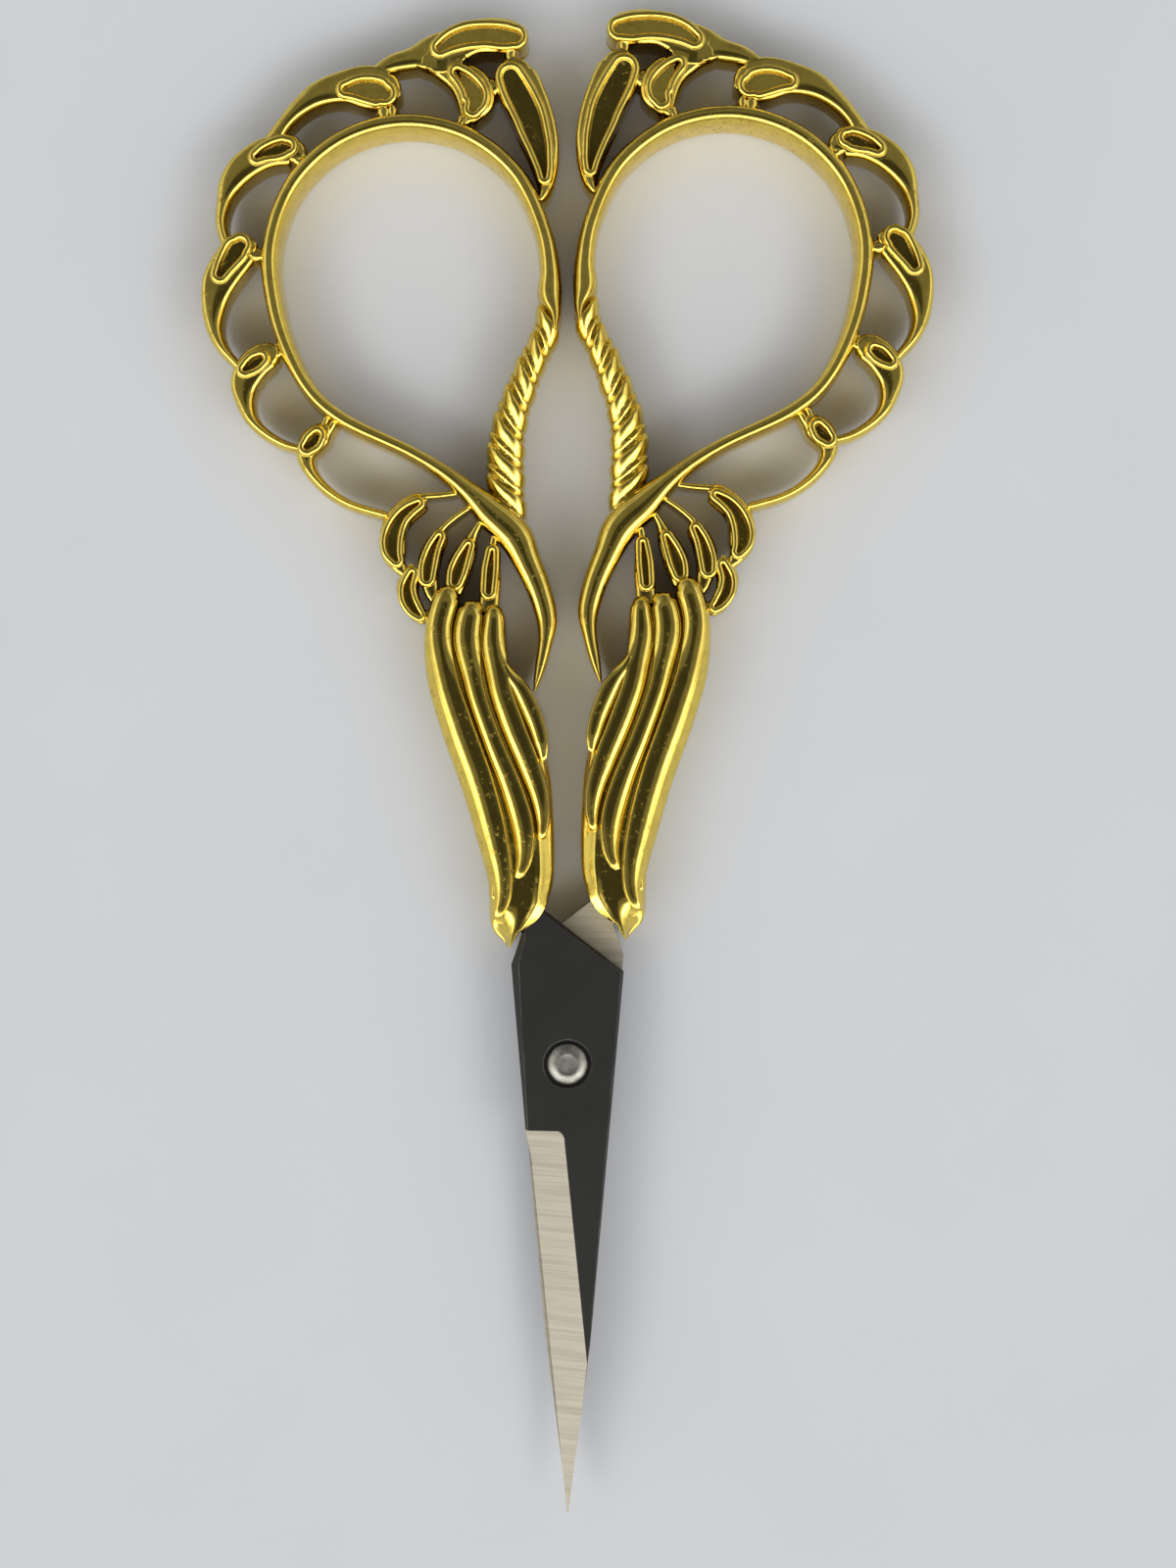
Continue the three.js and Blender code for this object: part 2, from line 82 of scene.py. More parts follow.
class CastingSizes(bpy.types.PropertyGroup):
    """Sizes of the cast handles."""

    border_height: FloatProperty(
        name="Border height", description="Thickness of the pierced border",
        default=3.3 * MM, unit="LENGTH")
    border_round: FloatProperty(
        name="Border round", description="Rounding of the border's edges",
        default=0.4 * MM, unit="LENGTH")
    bead_width: FloatProperty(
        name="Bead width", description="Width of the bead round each sunk cell",
        default=0.62 * MM, unit="LENGTH")
    bead_rise: FloatProperty(
        name="Bead rise", description="How far a bead stands above the border",
        default=0.2 * MM, unit="LENGTH")
    cell_depth: FloatProperty(
        name="Cell depth", description="Depth of the sunk cells",
        default=0.42 * MM, unit="LENGTH")
    fan_height: FloatProperty(
        name="Fan height", description="Thickness of the fan's petals",
        default=3.0 * MM, unit="LENGTH")
    rope_height: FloatProperty(
        name="Rope height", description="Thickness of the twisted rope",
        default=4.3 * MM, unit="LENGTH")
    shank_height: FloatProperty(
        name="Shank height", description="Thickness of the plain shank",
        default=3.94 * MM, unit="LENGTH")


class BladeSizes(bpy.types.PropertyGroup):
    """Sizes of the blades and the rivet."""

    bevel_width: FloatProperty(
        name="Bevel width", description="Width of the ground cutting bevel",
        default=2.9 * MM, unit="LENGTH")
    bevel_start: FloatProperty(
        name="Bevel start", description="From the pivot to the bevel's upper end",
        default=5.4 * MM, unit="LENGTH")
    recess: FloatProperty(
        name="Recess", description="Diameter of the recess round the rivet",
        default=3.92 * MM, unit="LENGTH")
    dish: FloatProperty(
        name="Dish", description="Diameter of the dish in the rivet's head",
        default=1.7 * MM, unit="LENGTH")


class Finishes(bpy.types.PropertyGroup):
    """Colours of the finishes, of the painted crevice shade and of the floor."""

    gold: FloatVectorProperty(
        name="Gold", description="Gold plating",
        default=(0.83, 0.635, 0.125), subtype="COLOR", min=0.0, max=1.0)
    tarnish: FloatVectorProperty(
        name="Tarnish", description="Duller gold in the pores",
        default=(0.42, 0.27, 0.04), subtype="COLOR", min=0.0, max=1.0)
    # Painted shade: the brown that the gold turns to where crevices, walls of openings and deep cells are
    # closed in
    painted_crevice_shade: FloatVectorProperty(
        name="Crevice", description="Brown gold in the crevices",
        default=(0.3, 0.17, 0.012), subtype="COLOR", min=0.0, max=1.0)
    black: FloatVectorProperty(
        name="Black", description="Coating of the blades",
        default=(0.012, 0.0115, 0.01), subtype="COLOR", min=0.0, max=1.0)
    steel: FloatVectorProperty(
        name="Steel", description="Bare ground steel",
        default=(0.43, 0.39, 0.305), subtype="COLOR", min=0.0, max=1.0)
    rivet: FloatVectorProperty(
        name="Rivet", description="Polished steel of the rivet",
        default=(0.36, 0.345, 0.3), subtype="COLOR", min=0.0, max=1.0)
    stain: FloatVectorProperty(
        name="Stain", description="Brown stain on the bare steel",
        default=(0.3, 0.24, 0.14), subtype="COLOR", min=0.0, max=1.0)
    floor: FloatVectorProperty(
        name="Floor", description="Pale floor",
        default=(0.56, 0.57, 0.59), subtype="COLOR", min=0.0, max=1.0)


class StageSizes(bpy.types.PropertyGroup):
    """Where the camera stands."""

    aim: FloatVectorProperty(
        name="Aim", description="Point of the border's top that the camera looks straight down on",
        default=(1.68 * MM, -1.71 * MM, 4.05 * MM), subtype="TRANSLATION")
    height: FloatProperty(
        name="Height", description="From that point up to the camera",
        default=185 * MM, unit="LENGTH")
    view: FloatProperty(
        name="View", description="Length of the picture's long side at that point",
        default=128 * MM, unit="LENGTH")


class Socket:
    """A value in a node tree. Sums and products of sockets add Math nodes."""

    def __init__(self, graph, socket):
        self.graph = graph
        self.socket = socket

    def maths(self, operation, *values):
        return self.graph.node("ShaderNodeMath", {"operation": operation}, dict(enumerate(values)))

    def __add__(self, other):
        return self.maths("ADD", self, other)

    def __sub__(self, other):
        return self.maths("SUBTRACT", self, other)

    def __rsub__(self, other):
        return self.maths("SUBTRACT", other, self)

    def __mul__(self, other):
        return self.maths("MULTIPLY", self, other)

    def __neg__(self):
        return self.maths("MULTIPLY", self, -1.0)

    __radd__ = __add__
    __rmul__ = __mul__


class Graph:
    """The node tree of a material or of the world."""

    def __init__(self, owner):
        owner.use_nodes = True
        self.tree = owner.node_tree
        self.tree.nodes.clear()

    def node(self, kind, settings=None, sockets=None, output=0):
        """A node of that type with its settings and sockets, as the socket of one of its outputs."""
        made = self.tree.nodes.new(kind)
        for name, value in (settings or {}).items():
            setattr(made, name, value)
        for key, value in (sockets or {}).items():
            if isinstance(value, Socket):
                self.tree.links.new(value.socket, made.inputs[key])
            else:
                made.inputs[key].default_value = value
        return Socket(self, made.outputs[output]) if made.outputs else None

    def step(self, value, low, high):
        """A smooth rise from 0 at low to 1 at high."""
        sockets = {"Value": value, "From Min": low, "From Max": high}
        return self.node("ShaderNodeMapRange", {"interpolation_type": "SMOOTHSTEP"}, sockets)

    def blend(self, share, first, second):
        """A colour between two colours."""
        return self.node("ShaderNodeMix", {"data_type": "RGBA"}, {0: share, 6: first, 7: second}, 2)

    def stretched(self, place, scale):
        """The place with each direction multiplied."""
        return self.node("ShaderNodeVectorMath", {"operation": "MULTIPLY"}, {0: place, 1: scale})

    def noise(self, place, scale, detail=3.0):
        """Soft noise over a place, finer the larger its scale."""
        return self.node("ShaderNodeTexNoise", None, {"Vector": place, "Scale": scale, "Detail": detail})

    def place(self):
        """The place on the object, in metres."""
        return self.node("ShaderNodeTexCoord", output="Object")

    def softened(self, radius):
        """The way that the surface faces, with its edges rounded off."""
        return self.node("ShaderNodeBevel", {"samples": 4}, {"Radius": radius})

    def bumped(self, height, strength, depth, facing=None):
        """The way that the surface faces, with fine relief on it."""
        sockets = {"Height": height, "Strength": strength, "Distance": depth}
        if facing:
            sockets["Normal"] = facing
        return self.node("ShaderNodeBump", None, sockets)

    def surface(self, sockets):
        """The shader and the output of a material."""
        shader = self.node("ShaderNodeBsdfPrincipled", None, sockets)
        self.node("ShaderNodeOutputMaterial", None, {"Surface": shader})


def opaque(colour, share=1.0):
    """A colour for a socket, darkened to a share of itself."""
    return (*(share * c for c in colour), 1.0)


def gold_plate(finishes):
    """Polished gold plating with duller pores, faint waves, softened creases and painted shade that browns
    it in its crevices.
    """
    material = bpy.data.materials.new("gold_plate")
    graph = Graph(material)
    place = graph.place()
    cloud = graph.noise(place, scale=260.0, detail=4.0)
    grain = graph.noise(place, scale=5200.0)
    waves = graph.noise(place, scale=900.0, detail=2.0)
    pores = graph.step(graph.noise(place, scale=2600.0, detail=2.0), low=0.57, high=0.7)
    dull = pores * graph.step(cloud, low=0.4, high=0.6)
    # Painted shade: where ambient occlusion finds the surface closed in, the base colour turns towards the
    # brown crevice shade
    open_sky = graph.node(
        "ShaderNodeAmbientOcclusion", {"samples": 6, "only_local": True}, {"Distance": 5.0 * MM}, "AO")
    painted_crevice_shade = graph.step(1.0 - open_sky, low=0.36, high=0.84)
    mottle = graph.step(graph.noise(place, scale=1100.0, detail=6.0), low=0.42, high=0.66)
    relief = waves * 0.8 + grain * 0.12 - dull * 0.25
    tone = graph.blend(dull * 0.55 + mottle * 0.22, opaque(finishes.gold), opaque(finishes.tarnish))
    graph.surface({
        "Base Color": graph.blend(painted_crevice_shade * 0.85, tone, opaque(finishes.painted_crevice_shade)),
        "Metallic": 1.0,
        "Roughness": 0.07 + cloud * 0.07 + dull * 0.3,
        "Normal": graph.bumped(relief, strength=0.16, depth=0.05 * MM, facing=graph.softened(0.11 * MM)),
    })
    return material


def black_coat(finishes):
    """Satin black coating with a fine grain, blended a little towards steel in patches along its edges."""
    material = bpy.data.materials.new("black_coat")
    graph = Graph(material)
    place = graph.place()
    grain = graph.noise(place, scale=7000.0)
    cloud = graph.noise(place, scale=300.0, detail=4.0)
    softened = graph.softened(0.06 * MM)
    facing = graph.node("ShaderNodeNewGeometry", output="Normal")
    both = {0: softened, 1: facing}
    alike = graph.node("ShaderNodeVectorMath", {"operation": "DOT_PRODUCT"}, both, "Value")
    # The black turns a little towards steel in patches along the edges, where the softened normal leaves the
    # true one
    steel_toned_edges = graph.step(1.0 - alike, low=0.004, high=0.05) * graph.step(cloud, low=0.3, high=0.7)
    graph.surface({
        "Base Color": graph.blend(steel_toned_edges * 0.6, opaque(finishes.black), opaque(finishes.steel)),
        "Roughness": 0.4 + cloud * 0.16,
        "Specular IOR Level": 0.36,
        "Normal": graph.bumped(grain, strength=0.25, depth=0.02 * MM, facing=softened),
    })
    return material


def ground_steel(finishes):
    """Bare steel with a few stains and the fine lines that the wheel leaves across the blade."""
    material = bpy.data.materials.new("ground_steel")
    graph = Graph(material)
    place = graph.place()
    fine = graph.noise(graph.stretched(place, (150.0, 14000.0, 150.0)), scale=1.0, detail=4.0)
    broad = graph.noise(graph.stretched(place, (60.0, 1500.0, 60.0)), scale=1.0)
    stain = graph.step(graph.noise(place, scale=420.0), low=0.58, high=0.75)
    lines = fine * 0.6 + broad * 0.4
    bright = graph.step(lines, low=0.35, high=0.62)
    tone = graph.blend(bright, opaque(finishes.steel, share=0.72), opaque(finishes.steel))
    graph.surface({
        "Base Color": graph.blend(stain * 0.18, tone, opaque(finishes.stain)),
        "Metallic": 0.4,
        "Roughness": 0.42 + lines * 0.16,
        "Normal": graph.bumped(lines, strength=0.22, depth=0.02 * MM),
    })
    return material


def rivet_steel(finishes):
    """Polished steel with faint rings from the tool that closed the head."""
    material = bpy.data.materials.new("rivet_steel")
    graph = Graph(material)
    place = graph.place()
    centred = graph.node("ShaderNodeVectorMath", {"operation": "SUBTRACT"}, {0: place, 1: PIVOT})
    flat = graph.stretched(centred, (1.0, 1.0, 0.0))
    reach = graph.node("ShaderNodeVectorMath", {"operation": "LENGTH"}, {0: flat}, "Value")
    cloud = graph.noise(place, scale=1500.0, detail=4.0)
    rings = graph.node("ShaderNodeTexNoise", {"noise_dimensions": "1D"}, {"W": reach * 9000.0, "Scale": 1.0})
    bright = graph.step(cloud, low=0.35, high=0.65)
    graph.surface({
        "Base Color": graph.blend(bright, opaque(finishes.rivet, share=0.7), opaque(finishes.rivet)),
        "Metallic": 1.0,
        "Roughness": 0.34 + cloud * 0.16,
        "Normal": graph.bumped(rings * 0.5 + cloud * 0.5, strength=0.12, depth=0.02 * MM),
    })
    return material


def pale_floor(finishes):
    """A plain pale floor with a hardly visible mottle."""
    material = bpy.data.materials.new("pale_floor")
    graph = Graph(material)
    mottle = graph.noise(graph.place(), scale=60.0, detail=5.0)
    graph.surface({
        "Base Color": graph.blend(mottle, opaque(finishes.floor, share=0.94), opaque(finishes.floor)),
        "Roughness": 0.75,
    })
    return material


# Points of a smooth line between two of its stations, before they are spaced evenly
POINTS_BETWEEN = 32

# How blunt the round end of a stroke stays
BLUNT = 0.004


def through(stations, count):
    """Points spaced evenly along a smooth line through stations of x, y and width."""
    given = np.array(stations, float)
    knots = np.vstack([2 * given[0] - given[1], given, 2 * given[-1] - given[-2]])
    t = np.linspace(0.0, 1.0, POINTS_BETWEEN, endpoint=False)[:, None]
    runs = []
    for p0, p1, p2, p3 in zip(knots, knots[1:], knots[2:], knots[3:]):
        d0, d1, d2 = (np.linalg.norm(b - a) ** 0.5 for a, b in ((p0, p1), (p1, p2), (p2, p3)))
        leave = ((p1 - p0) / d0 - (p2 - p0) / (d0 + d1) + (p2 - p1) / d1) * d1
        arrive = ((p2 - p1) / d1 - (p3 - p1) / (d1 + d2) + (p3 - p2) / d2) * d1
        square = 3 * (p2 - p1) - 2 * leave - arrive
        cube = 2 * (p1 - p2) + leave + arrive
        runs.append(p1 + leave * t + square * t**2 + cube * t**3)
    dense = np.vstack([*runs, given[-1:]])
    lengths = np.linalg.norm(np.diff(dense[:, :2], axis=0), axis=1)
    reach = np.concatenate([[0.0], np.cumsum(lengths)])
    wanted = np.linspace(0.0, 1.0, count) * reach[-1]
    return np.column_stack([np.interp(wanted, reach, dense[:, i]) for i in range(3)])


def sideways(line, closed=False):
    """Unit vectors to the left of a line of points."""
    if closed:
        along = np.roll(line, -1, axis=0) - np.roll(line, 1, axis=0)
    else:
        along = np.gradient(line, axis=0)
    along /= np.linalg.norm(along, axis=1)[:, None]
    return np.column_stack([-along[:, 1], along[:, 0]])


def skin(rings, closed=False):
    """A closed skin over rings of points: a loop, or a run with flat ends."""
    count, sides = len(rings), len(rings[0])
    faces = []
    for i in range(count if closed else count - 1):
        low, high = i * sides, (i + 1) % count * sides
        for j in range(sides):
            k = (j + 1) % sides
            faces.append((low + j, low + k, high + k, high + j))
    if not closed:
        faces.append(tuple(reversed(range(sides))))
        faces.append(tuple(range((count - 1) * sides, count * sides)))
    return np.concatenate(rings), faces


def stroke(stations, section, step, round_ends=False):
    """A section carried along a smooth line, at rings about one step apart."""
    length = np.linalg.norm(np.diff(np.array(stations)[:, :2], axis=0), axis=1).sum()
    count = round(length / step)
    line = through(stations, count + 1)
    if round_ends:
        line[:, 2] = rounded(line, length / count)
    left = sideways(line[:, :2])
    rings = []
    for i, (x, y, width) in enumerate(line):
        across, up = section(width / 2, i / count).T
        rings.append(np.column_stack([x + left[i, 0] * across, y + left[i, 1] * across, up]))
    return skin(rings)


def rounded(line, step):
    """The widths of a line, narrowed at both ends to half circles."""
    widths = line[:, 2].copy()
    count = len(widths)
    for end, order in ((0, range(count)), (count - 1, reversed(range(count)))):
        radius = line[end, 2] / 2
        for i in order:
            gone = abs(i - end) * step + BLUNT
            if gone >= radius:
                break
            widths[i] = min(widths[i], 2 * math.sqrt(radius**2 - (radius - gone) ** 2))
    return widths


def oval(half, height, power, count=28):
    """A section between an ellipse and a box."""
    angles = np.linspace(0.0, 2 * math.pi, count, endpoint=False)
    across, up = np.cos(angles), np.sin(angles)
    return np.column_stack([
        half * np.sign(across) * np.abs(across) ** (2 / power),
        height * np.sign(up) * np.abs(up) ** (2 / power),
    ])


def slab(half, height, radius, count=6):
    """A flat section with rounded edges. A narrow one is nearly half round at its sides."""
    roundest = 0.96 * half
    r = min(radius, roundest)
    arc = np.linspace(0.0, math.pi / 2, count)
    points = []
    for quarter, (sx, sy) in enumerate(((1, 1), (-1, 1), (-1, -1), (1, -1))):
        angles = arc + quarter * math.pi / 2
        points.append(np.column_stack([
            sx * (half - r) + r * np.cos(angles),
            sy * (height - r) + r * np.sin(angles),
        ]))
    return np.concatenate(points)


def ridged(half, height, mouth, fall):
    """A flat section with a ridge towards its right, drawn in shares of its half width and half height.

    The ridge stands above a round brow, or at the mouth above a chamfer. The left side may fall away.
    """
    arc = np.linspace(0.0, math.pi / 2, 8)
    crest = 0.58 + 0.08 * mouth + 0.16 * fall
    top = 0.995 + 0.07 * mouth * (1 - fall)
    brow = 0.62 + 0.26 * mouth
    bend = 0.4 * (1 - crest) * (1 - 0.8 * mouth)
    right = np.column_stack([1 - bend * (1 - np.cos(arc)), brow * np.sin(arc)])
    slope = [(crest + k * (1 - crest), top - k * (top - brow)) for k in (0.25, 0.09, 0.0)]
    flat = 0.1 + 0.3 * fall
    face = [
        (crest - 0.03, top), (crest - 0.11, 0.983), (crest - 0.17, 0.98), (flat + 0.07, 0.975), (flat, 0.97),
        (flat - 0.45, 0.965 - 0.245 * fall),
    ]
    side, foot = 0.8 - 0.2 * fall, 0.93 - 0.73 * fall
    left = np.column_stack([-side - (1 - side) * np.sin(arc), foot * np.cos(arc)])
    upper = np.concatenate([right, slope, face, left])
    lower = upper[-2:0:-1] * np.array([1.0, -1.0])
    return np.concatenate([upper, lower]) * np.array([half, height])


def outline(stations, grow, count=26, cap_count=10, least=0.02):
    """The closed outline round a line of stations with round ends, grown by an amount."""
    line = through(stations, count)
    left = sideways(line[:, :2])
    reach = np.maximum(line[:, 2:] / 2 + grow, least)
    upper = line[:, :2] + left * reach
    lower = line[:, :2] - left * reach
    caps = []
    for i, turn in ((-1, -1), (0, 1)):
        angles = np.linspace(0.0, math.pi, cap_count)[1:-1, None]
        ahead = turn * np.array([[-left[i, 1], left[i, 0]]])
        out = turn * -left[i]
        caps.append(line[i, :2] + reach[i] * (np.cos(angles) * out + np.sin(angles) * ahead))
    return np.concatenate([upper, caps[0], lower[::-1], caps[1]])


def prism(points, low, high):
    """A straight solid over a closed outline."""
    return skin([np.column_stack([points, np.full(len(points), z)]) for z in (low, high)])


def bead(points, height, radius, sides=10):
    """A round bead along a closed outline."""
    left = sideways(points, closed=True)
    angles = np.linspace(0.0, 2 * math.pi, sides, endpoint=False)
    rings = []
    for (x, y), (nx, ny) in zip(points, left):
        across, up = radius * np.cos(angles), radius * np.sin(angles)
        rings.append(np.column_stack([x + nx * across, y + ny * across, height + up]))
    return skin(rings, closed=True)


def turned(profile, sides=96):
    """A solid turned about the pivot from a profile of radius and height, whose ends stay off the axis."""
    angles = np.linspace(0.0, 2 * math.pi, sides, endpoint=False)
    circle = np.column_stack([np.cos(angles), np.sin(angles)])
    return skin([np.column_stack([r * circle, np.full(sides, z)]) for r, z in profile])


def solid_object(solid):
    """A closed solid as an object that can be joined and cut."""
    points, faces = solid
    mesh = bpy.data.meshes.new("solid")
    mesh.from_pydata(points.tolist(), [], faces)
    shape = bmesh.new()
    shape.from_mesh(mesh)
    bmesh.ops.recalc_face_normals(shape, faces=shape.faces)
    shape.to_mesh(mesh)
    shape.free()
    made = bpy.data.objects.new("solid", mesh)
    bpy.context.scene.collection.objects.link(made)
    return made


# Points nearer together than this are left over from cutting
SLIVER = 0.001


def carved(steps):
    """One closed mesh from solids that are joined and cut in turn."""
    base = None
    solids = []
    for operation, group in steps:
        for solid in group:
            tool = solid_object(solid)
            solids.append(tool)
            if base is None:
                base = tool
                continue
            cut = base.modifiers.new("cut", "BOOLEAN")
            cut.solver = "MANIFOLD"
            cut.operation = operation
            cut.object = tool
    whole = base.evaluated_get(bpy.context.evaluated_depsgraph_get())
    mesh = bpy.data.meshes.new_from_object(whole)
    mesh.materials.clear()
    for tool in solids:
        bpy.data.meshes.remove(tool.data)
    shape = bmesh.new()
    shape.from_mesh(mesh)
    bmesh.ops.remove_doubles(shape, verts=shape.verts, dist=SLIVER)
    bmesh.ops.dissolve_degenerate(shape, edges=shape.edges, dist=SLIVER)
    shape.to_mesh(mesh)
    shape.free()
    return mesh


def front_place():
    """From the drawing to the front half, in metres."""
    return Matrix.Translation(PIVOT) @ Matrix.Scale(MM, 4)


def rear_place():
    """From the drawing to the rear half, which is turned over and set back, in metres."""
    shifted = PIVOT + Vector((0.0, STAGGER, 0.0))
    return Matrix.Translation(shifted) @ Matrix.Rotation(math.pi, 4, "Y") @ Matrix.Scale(MM, 4)


# Edges that turn by more than this stay sharp, in degrees
CREASE = 38.0
BLADE_CREASE = 12.0


def settle(name, mesh, materials, body, node, crease=CREASE):
    """A finished piece: smooth apart from its creases, riding on its body in place of the node."""
    mesh.name = name
    for material in materials:
        mesh.materials.append(material)
    mesh.polygons.foreach_set("use_smooth", [True] * len(mesh.polygons))
    mesh.set_sharp_from_angle(angle=math.radians(crease))
    piece = bpy.data.objects.new(name, mesh)
    bpy.context.scene.collection.objects.link(piece)
    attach(piece, body)
    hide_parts(node)


def bow(angle, out, width):
    """A station round the bow: an angle from +X, a distance out from the ring's centre line, a width."""
    a = math.radians(angle)
    r = BOW_RADIUS + out
    return (r * math.cos(a) - BOW_OFFSET, r * math.sin(a) + BOW_REACH, width)


def wing(x, y, width):
    """A station of the wing: a place from the shank's foot, a width."""
    return (x - FOOT_OFFSET, y + FOOT_REACH, width)


# The ring from the rope's upper end round the bow, past the rope's lower end and down into the leaf
RING = [
    bow(-25, 1.95, 0.4), bow(-20, 1.45, 1.1), bow(-13.5, 0.6, 2.1), bow(-3.5, 0.3, 1.8),
    *[bow(angle, 0, 1.6) for angle in range(12, 175, 27)], bow(198, 0.2, 1.6),
    bow(218, 1, 1.5), bow(234.5, 2.1, 1.4), bow(247, 2.7, 1.4), wing(-7.9, 40.2, 1.3),
    wing(-5.2, 38.6, 1.5), wing(-3.3, 37.1, 1.9), wing(-1.5, 35.4, 2.7), wing(0.5, 33.5, 2.9),
    wing(1.5, 31.4, 2.4), wing(2.5, 29, 2.1), wing(3.1, 26.6, 1.8), wing(3, 24.9, 1.3),
    wing(2.5, 22.4, 0.9), wing(2.1, 20.8, 0.3),
]

# The twisted rope down the bow's inner side
ROPE = [
    bow(-14, 0.6, 2), bow(-27.5, 1.3, 2.45), bow(-38.5, 1.6, 2.55), bow(-47.5, 2.4, 2.75),
    wing(0.3, 43.7, 2.95), wing(-0.2, 41.5, 3.25), wing(-0.3, 39.2, 3.4), wing(-0.2, 37, 3.25),
    wing(0.2, 34.8, 2.8),
]

# The pierced border: the crest, its stem and its drop, the long petal, and five heads with their tails
SCROLLS = [
    [bow(102, 4.2, 1), bow(95, 4.95, 1.6), bow(89, 5.35, 1.9), bow(84, 5.9, 2.6), bow(78.5, 6.7, 2.9),
     bow(73.5, 7.88, 2.8), bow(68.5, 8.58, 2.88), bow(64, 9, 2.6), bow(61.6, 9.1, 2.1)],
    [bow(87.6, 4.7, 0.6), bow(83, 4.75, 1.3), bow(78.7, 4.4, 1.6), bow(74.8, 3.5, 1.2), bow(71.6, 2.3, 0.8),
     bow(69.3, 1.3, 0.5)],
    [bow(75, 5.1, 1.1), bow(72, 4.7, 2.1), bow(68.5, 3.8, 2.8), bow(66.6, 2.9, 2.7), bow(66.6, 1.9, 1.8),
     bow(67.5, 0.8, 0.9)],
    [bow(63.3, 7.4, 3), bow(60.5, 6.35, 3.4), bow(57.4, 5.6, 3.7), bow(52.4, 4.75, 3.6), bow(46.2, 3.9, 3.2),
     bow(39.9, 3.1, 2.6), bow(33.7, 2.3, 1.8), bow(27.7, 1.3, 1.2), bow(24.2, 0.4, 0.7)],
    [bow(92.6, 2.3, 2.8), bow(97, 2.75, 3.35), bow(103, 3.35, 3.6), bow(111, 4, 2.6), bow(118.5, 4.3, 2.1),
     bow(126, 4.15, 1.6), bow(132, 3.9, 1.4), bow(138, 3.6, 1.5), bow(143, 3.5, 1.2)],
    [bow(134.5, 0.7, 2), bow(136.8, 2, 2.5), bow(142, 3.25, 2.55), bow(146.5, 3.9, 2.45),
     bow(151.4, 4.4, 2.3), bow(156.8, 4.65, 1.9), bow(162, 4.6, 1.3), bow(168, 4.4, 1),
     bow(173, 3.85, 0.95), bow(177, 3.3, 0.9)],
    [bow(173.3, 1.15, 2.2), bow(175.3, 2.1, 2.7), bow(179, 3, 3), bow(185.5, 4.2, 2.8), bow(192, 5, 2.09),
     bow(198.5, 5.5, 1.4), bow(204.5, 5.5, 1), bow(211, 5.1, 0.8), bow(215, 4.9, 0.9)],
    [bow(213.6, 1.5, 2.2), bow(213.4, 2.7, 2.45), bow(213.8, 4, 2.6), bow(216.5, 5.4, 2.3),
     bow(221, 6.4, 1.5), bow(225, 6.9, 1.1), bow(230, 7, 0.9), bow(235.5, 6.8, 0.8), bow(240, 6.4, 0.7)],
    [bow(244, 3.6, 1.9), bow(242.9, 4.5, 2.1), bow(241.8, 5.6, 2.2), bow(242.2, 6.7, 1.6),
     bow(244.8, 7.6, 1.1), bow(250, 8.5, 0.9), bow(256, 9.1, 0.8), wing(-9.9, 35.1, 0.8)],
]

# Sunk cells with level floors, in the crest, its drop and the first head
CELLS = [
    [bow(81.5, 6.3, 0.64), bow(79, 7, 1.04), bow(75.5, 7.7, 1.28), bow(71, 8.3, 1.32), bow(67, 8.7, 1.36),
     bow(64.5, 9, 1.04)],
    [bow(75.5, 4.6, 0.56), bow(73, 4.3, 0.88), bow(70, 3.8, 1.2), bow(68, 3.3, 1.36), bow(67, 2.8, 1.04),
     bow(67, 2.2, 0.56)],
    [bow(110, 3.6, 0.56), bow(106.5, 3.4, 1.16), bow(103, 3.1, 1.52), bow(99.5, 2.7, 1.52),
     bow(98, 2.5, 1.04)],
]

# Deeper cells, whose floors fall away towards the rivet
DEEP_CELLS = [
    [bow(60.9, 5.9, 1.5), bow(58.4, 5.4, 1.75), bow(54.6, 4.8, 1.85), bow(50.4, 4.2, 1.8),
     bow(46.2, 3.55, 1.6), bow(41.8, 3, 1.25), bow(37.8, 2.5, 0.85), bow(34.2, 2.1, 0.5),
     bow(31.5, 1.75, 0.2)],
    [bow(145.5, 3.7, 0.36), bow(143, 3.4, 0.68), bow(140, 2.9, 0.96), bow(137.5, 2.5, 0.92),
     bow(136.5, 2.3, 0.64)],
    [bow(184, 4.1, 0.56), bow(181.5, 3.7, 0.88), bow(178.5, 3.2, 1.2), bow(176, 2.8, 1.32),
     bow(174.5, 2.5, 0.96)],
    [bow(213.6, 4.7, 0.4), bow(213.5, 4.2, 0.7), bow(213.4, 3.6, 0.8), bow(213.4, 3.2, 0.6)],
    [bow(241.4, 6, 0.5), bow(242, 5.4, 0.8), bow(242.3, 4.8, 0.6)],
]

# The plain field between the crest and the drop below it
FIELD = [bow(86, 4.9, 1.4), bow(83, 5.2, 2), bow(79.5, 5.5, 2.2), bow(76.5, 5.95, 1.7), bow(74.4, 6.3, 1.1)]

# Small lumps that join the drop and each head to the ring, and the long petal to the drop and the crest
NECKS = [
    [bow(69.5, 0.5, 1.2), bow(69, 1.9, 1.2)], [bow(67, 4.1, 2.4), bow(62.4, 4.85, 2.4)],
    [bow(64.4, 8.4, 1.3), bow(63.2, 7, 1.3)],
    [bow(99.6, 0.5, 1.7), bow(99.2, 1.7, 1.8)], [bow(96.4, 0.6, 1.2), bow(96, 1.6, 1.3)],
    [bow(137.8, 0.5, 1.3), bow(137, 2, 1.3)],
    [bow(177.8, 0.5, 1.7), bow(176.8, 2.1, 1.6)],
    [bow(215.5, 1.1, 1), bow(215, 2.9, 1)], [bow(212.5, 1, 0.9), bow(213.2, 2.7, 0.9)],
    [bow(245.2, 2.9, 1), bow(244.6, 4.6, 1)], [bow(242.3, 2.7, 0.9), bow(242.8, 4.4, 0.9)],
]

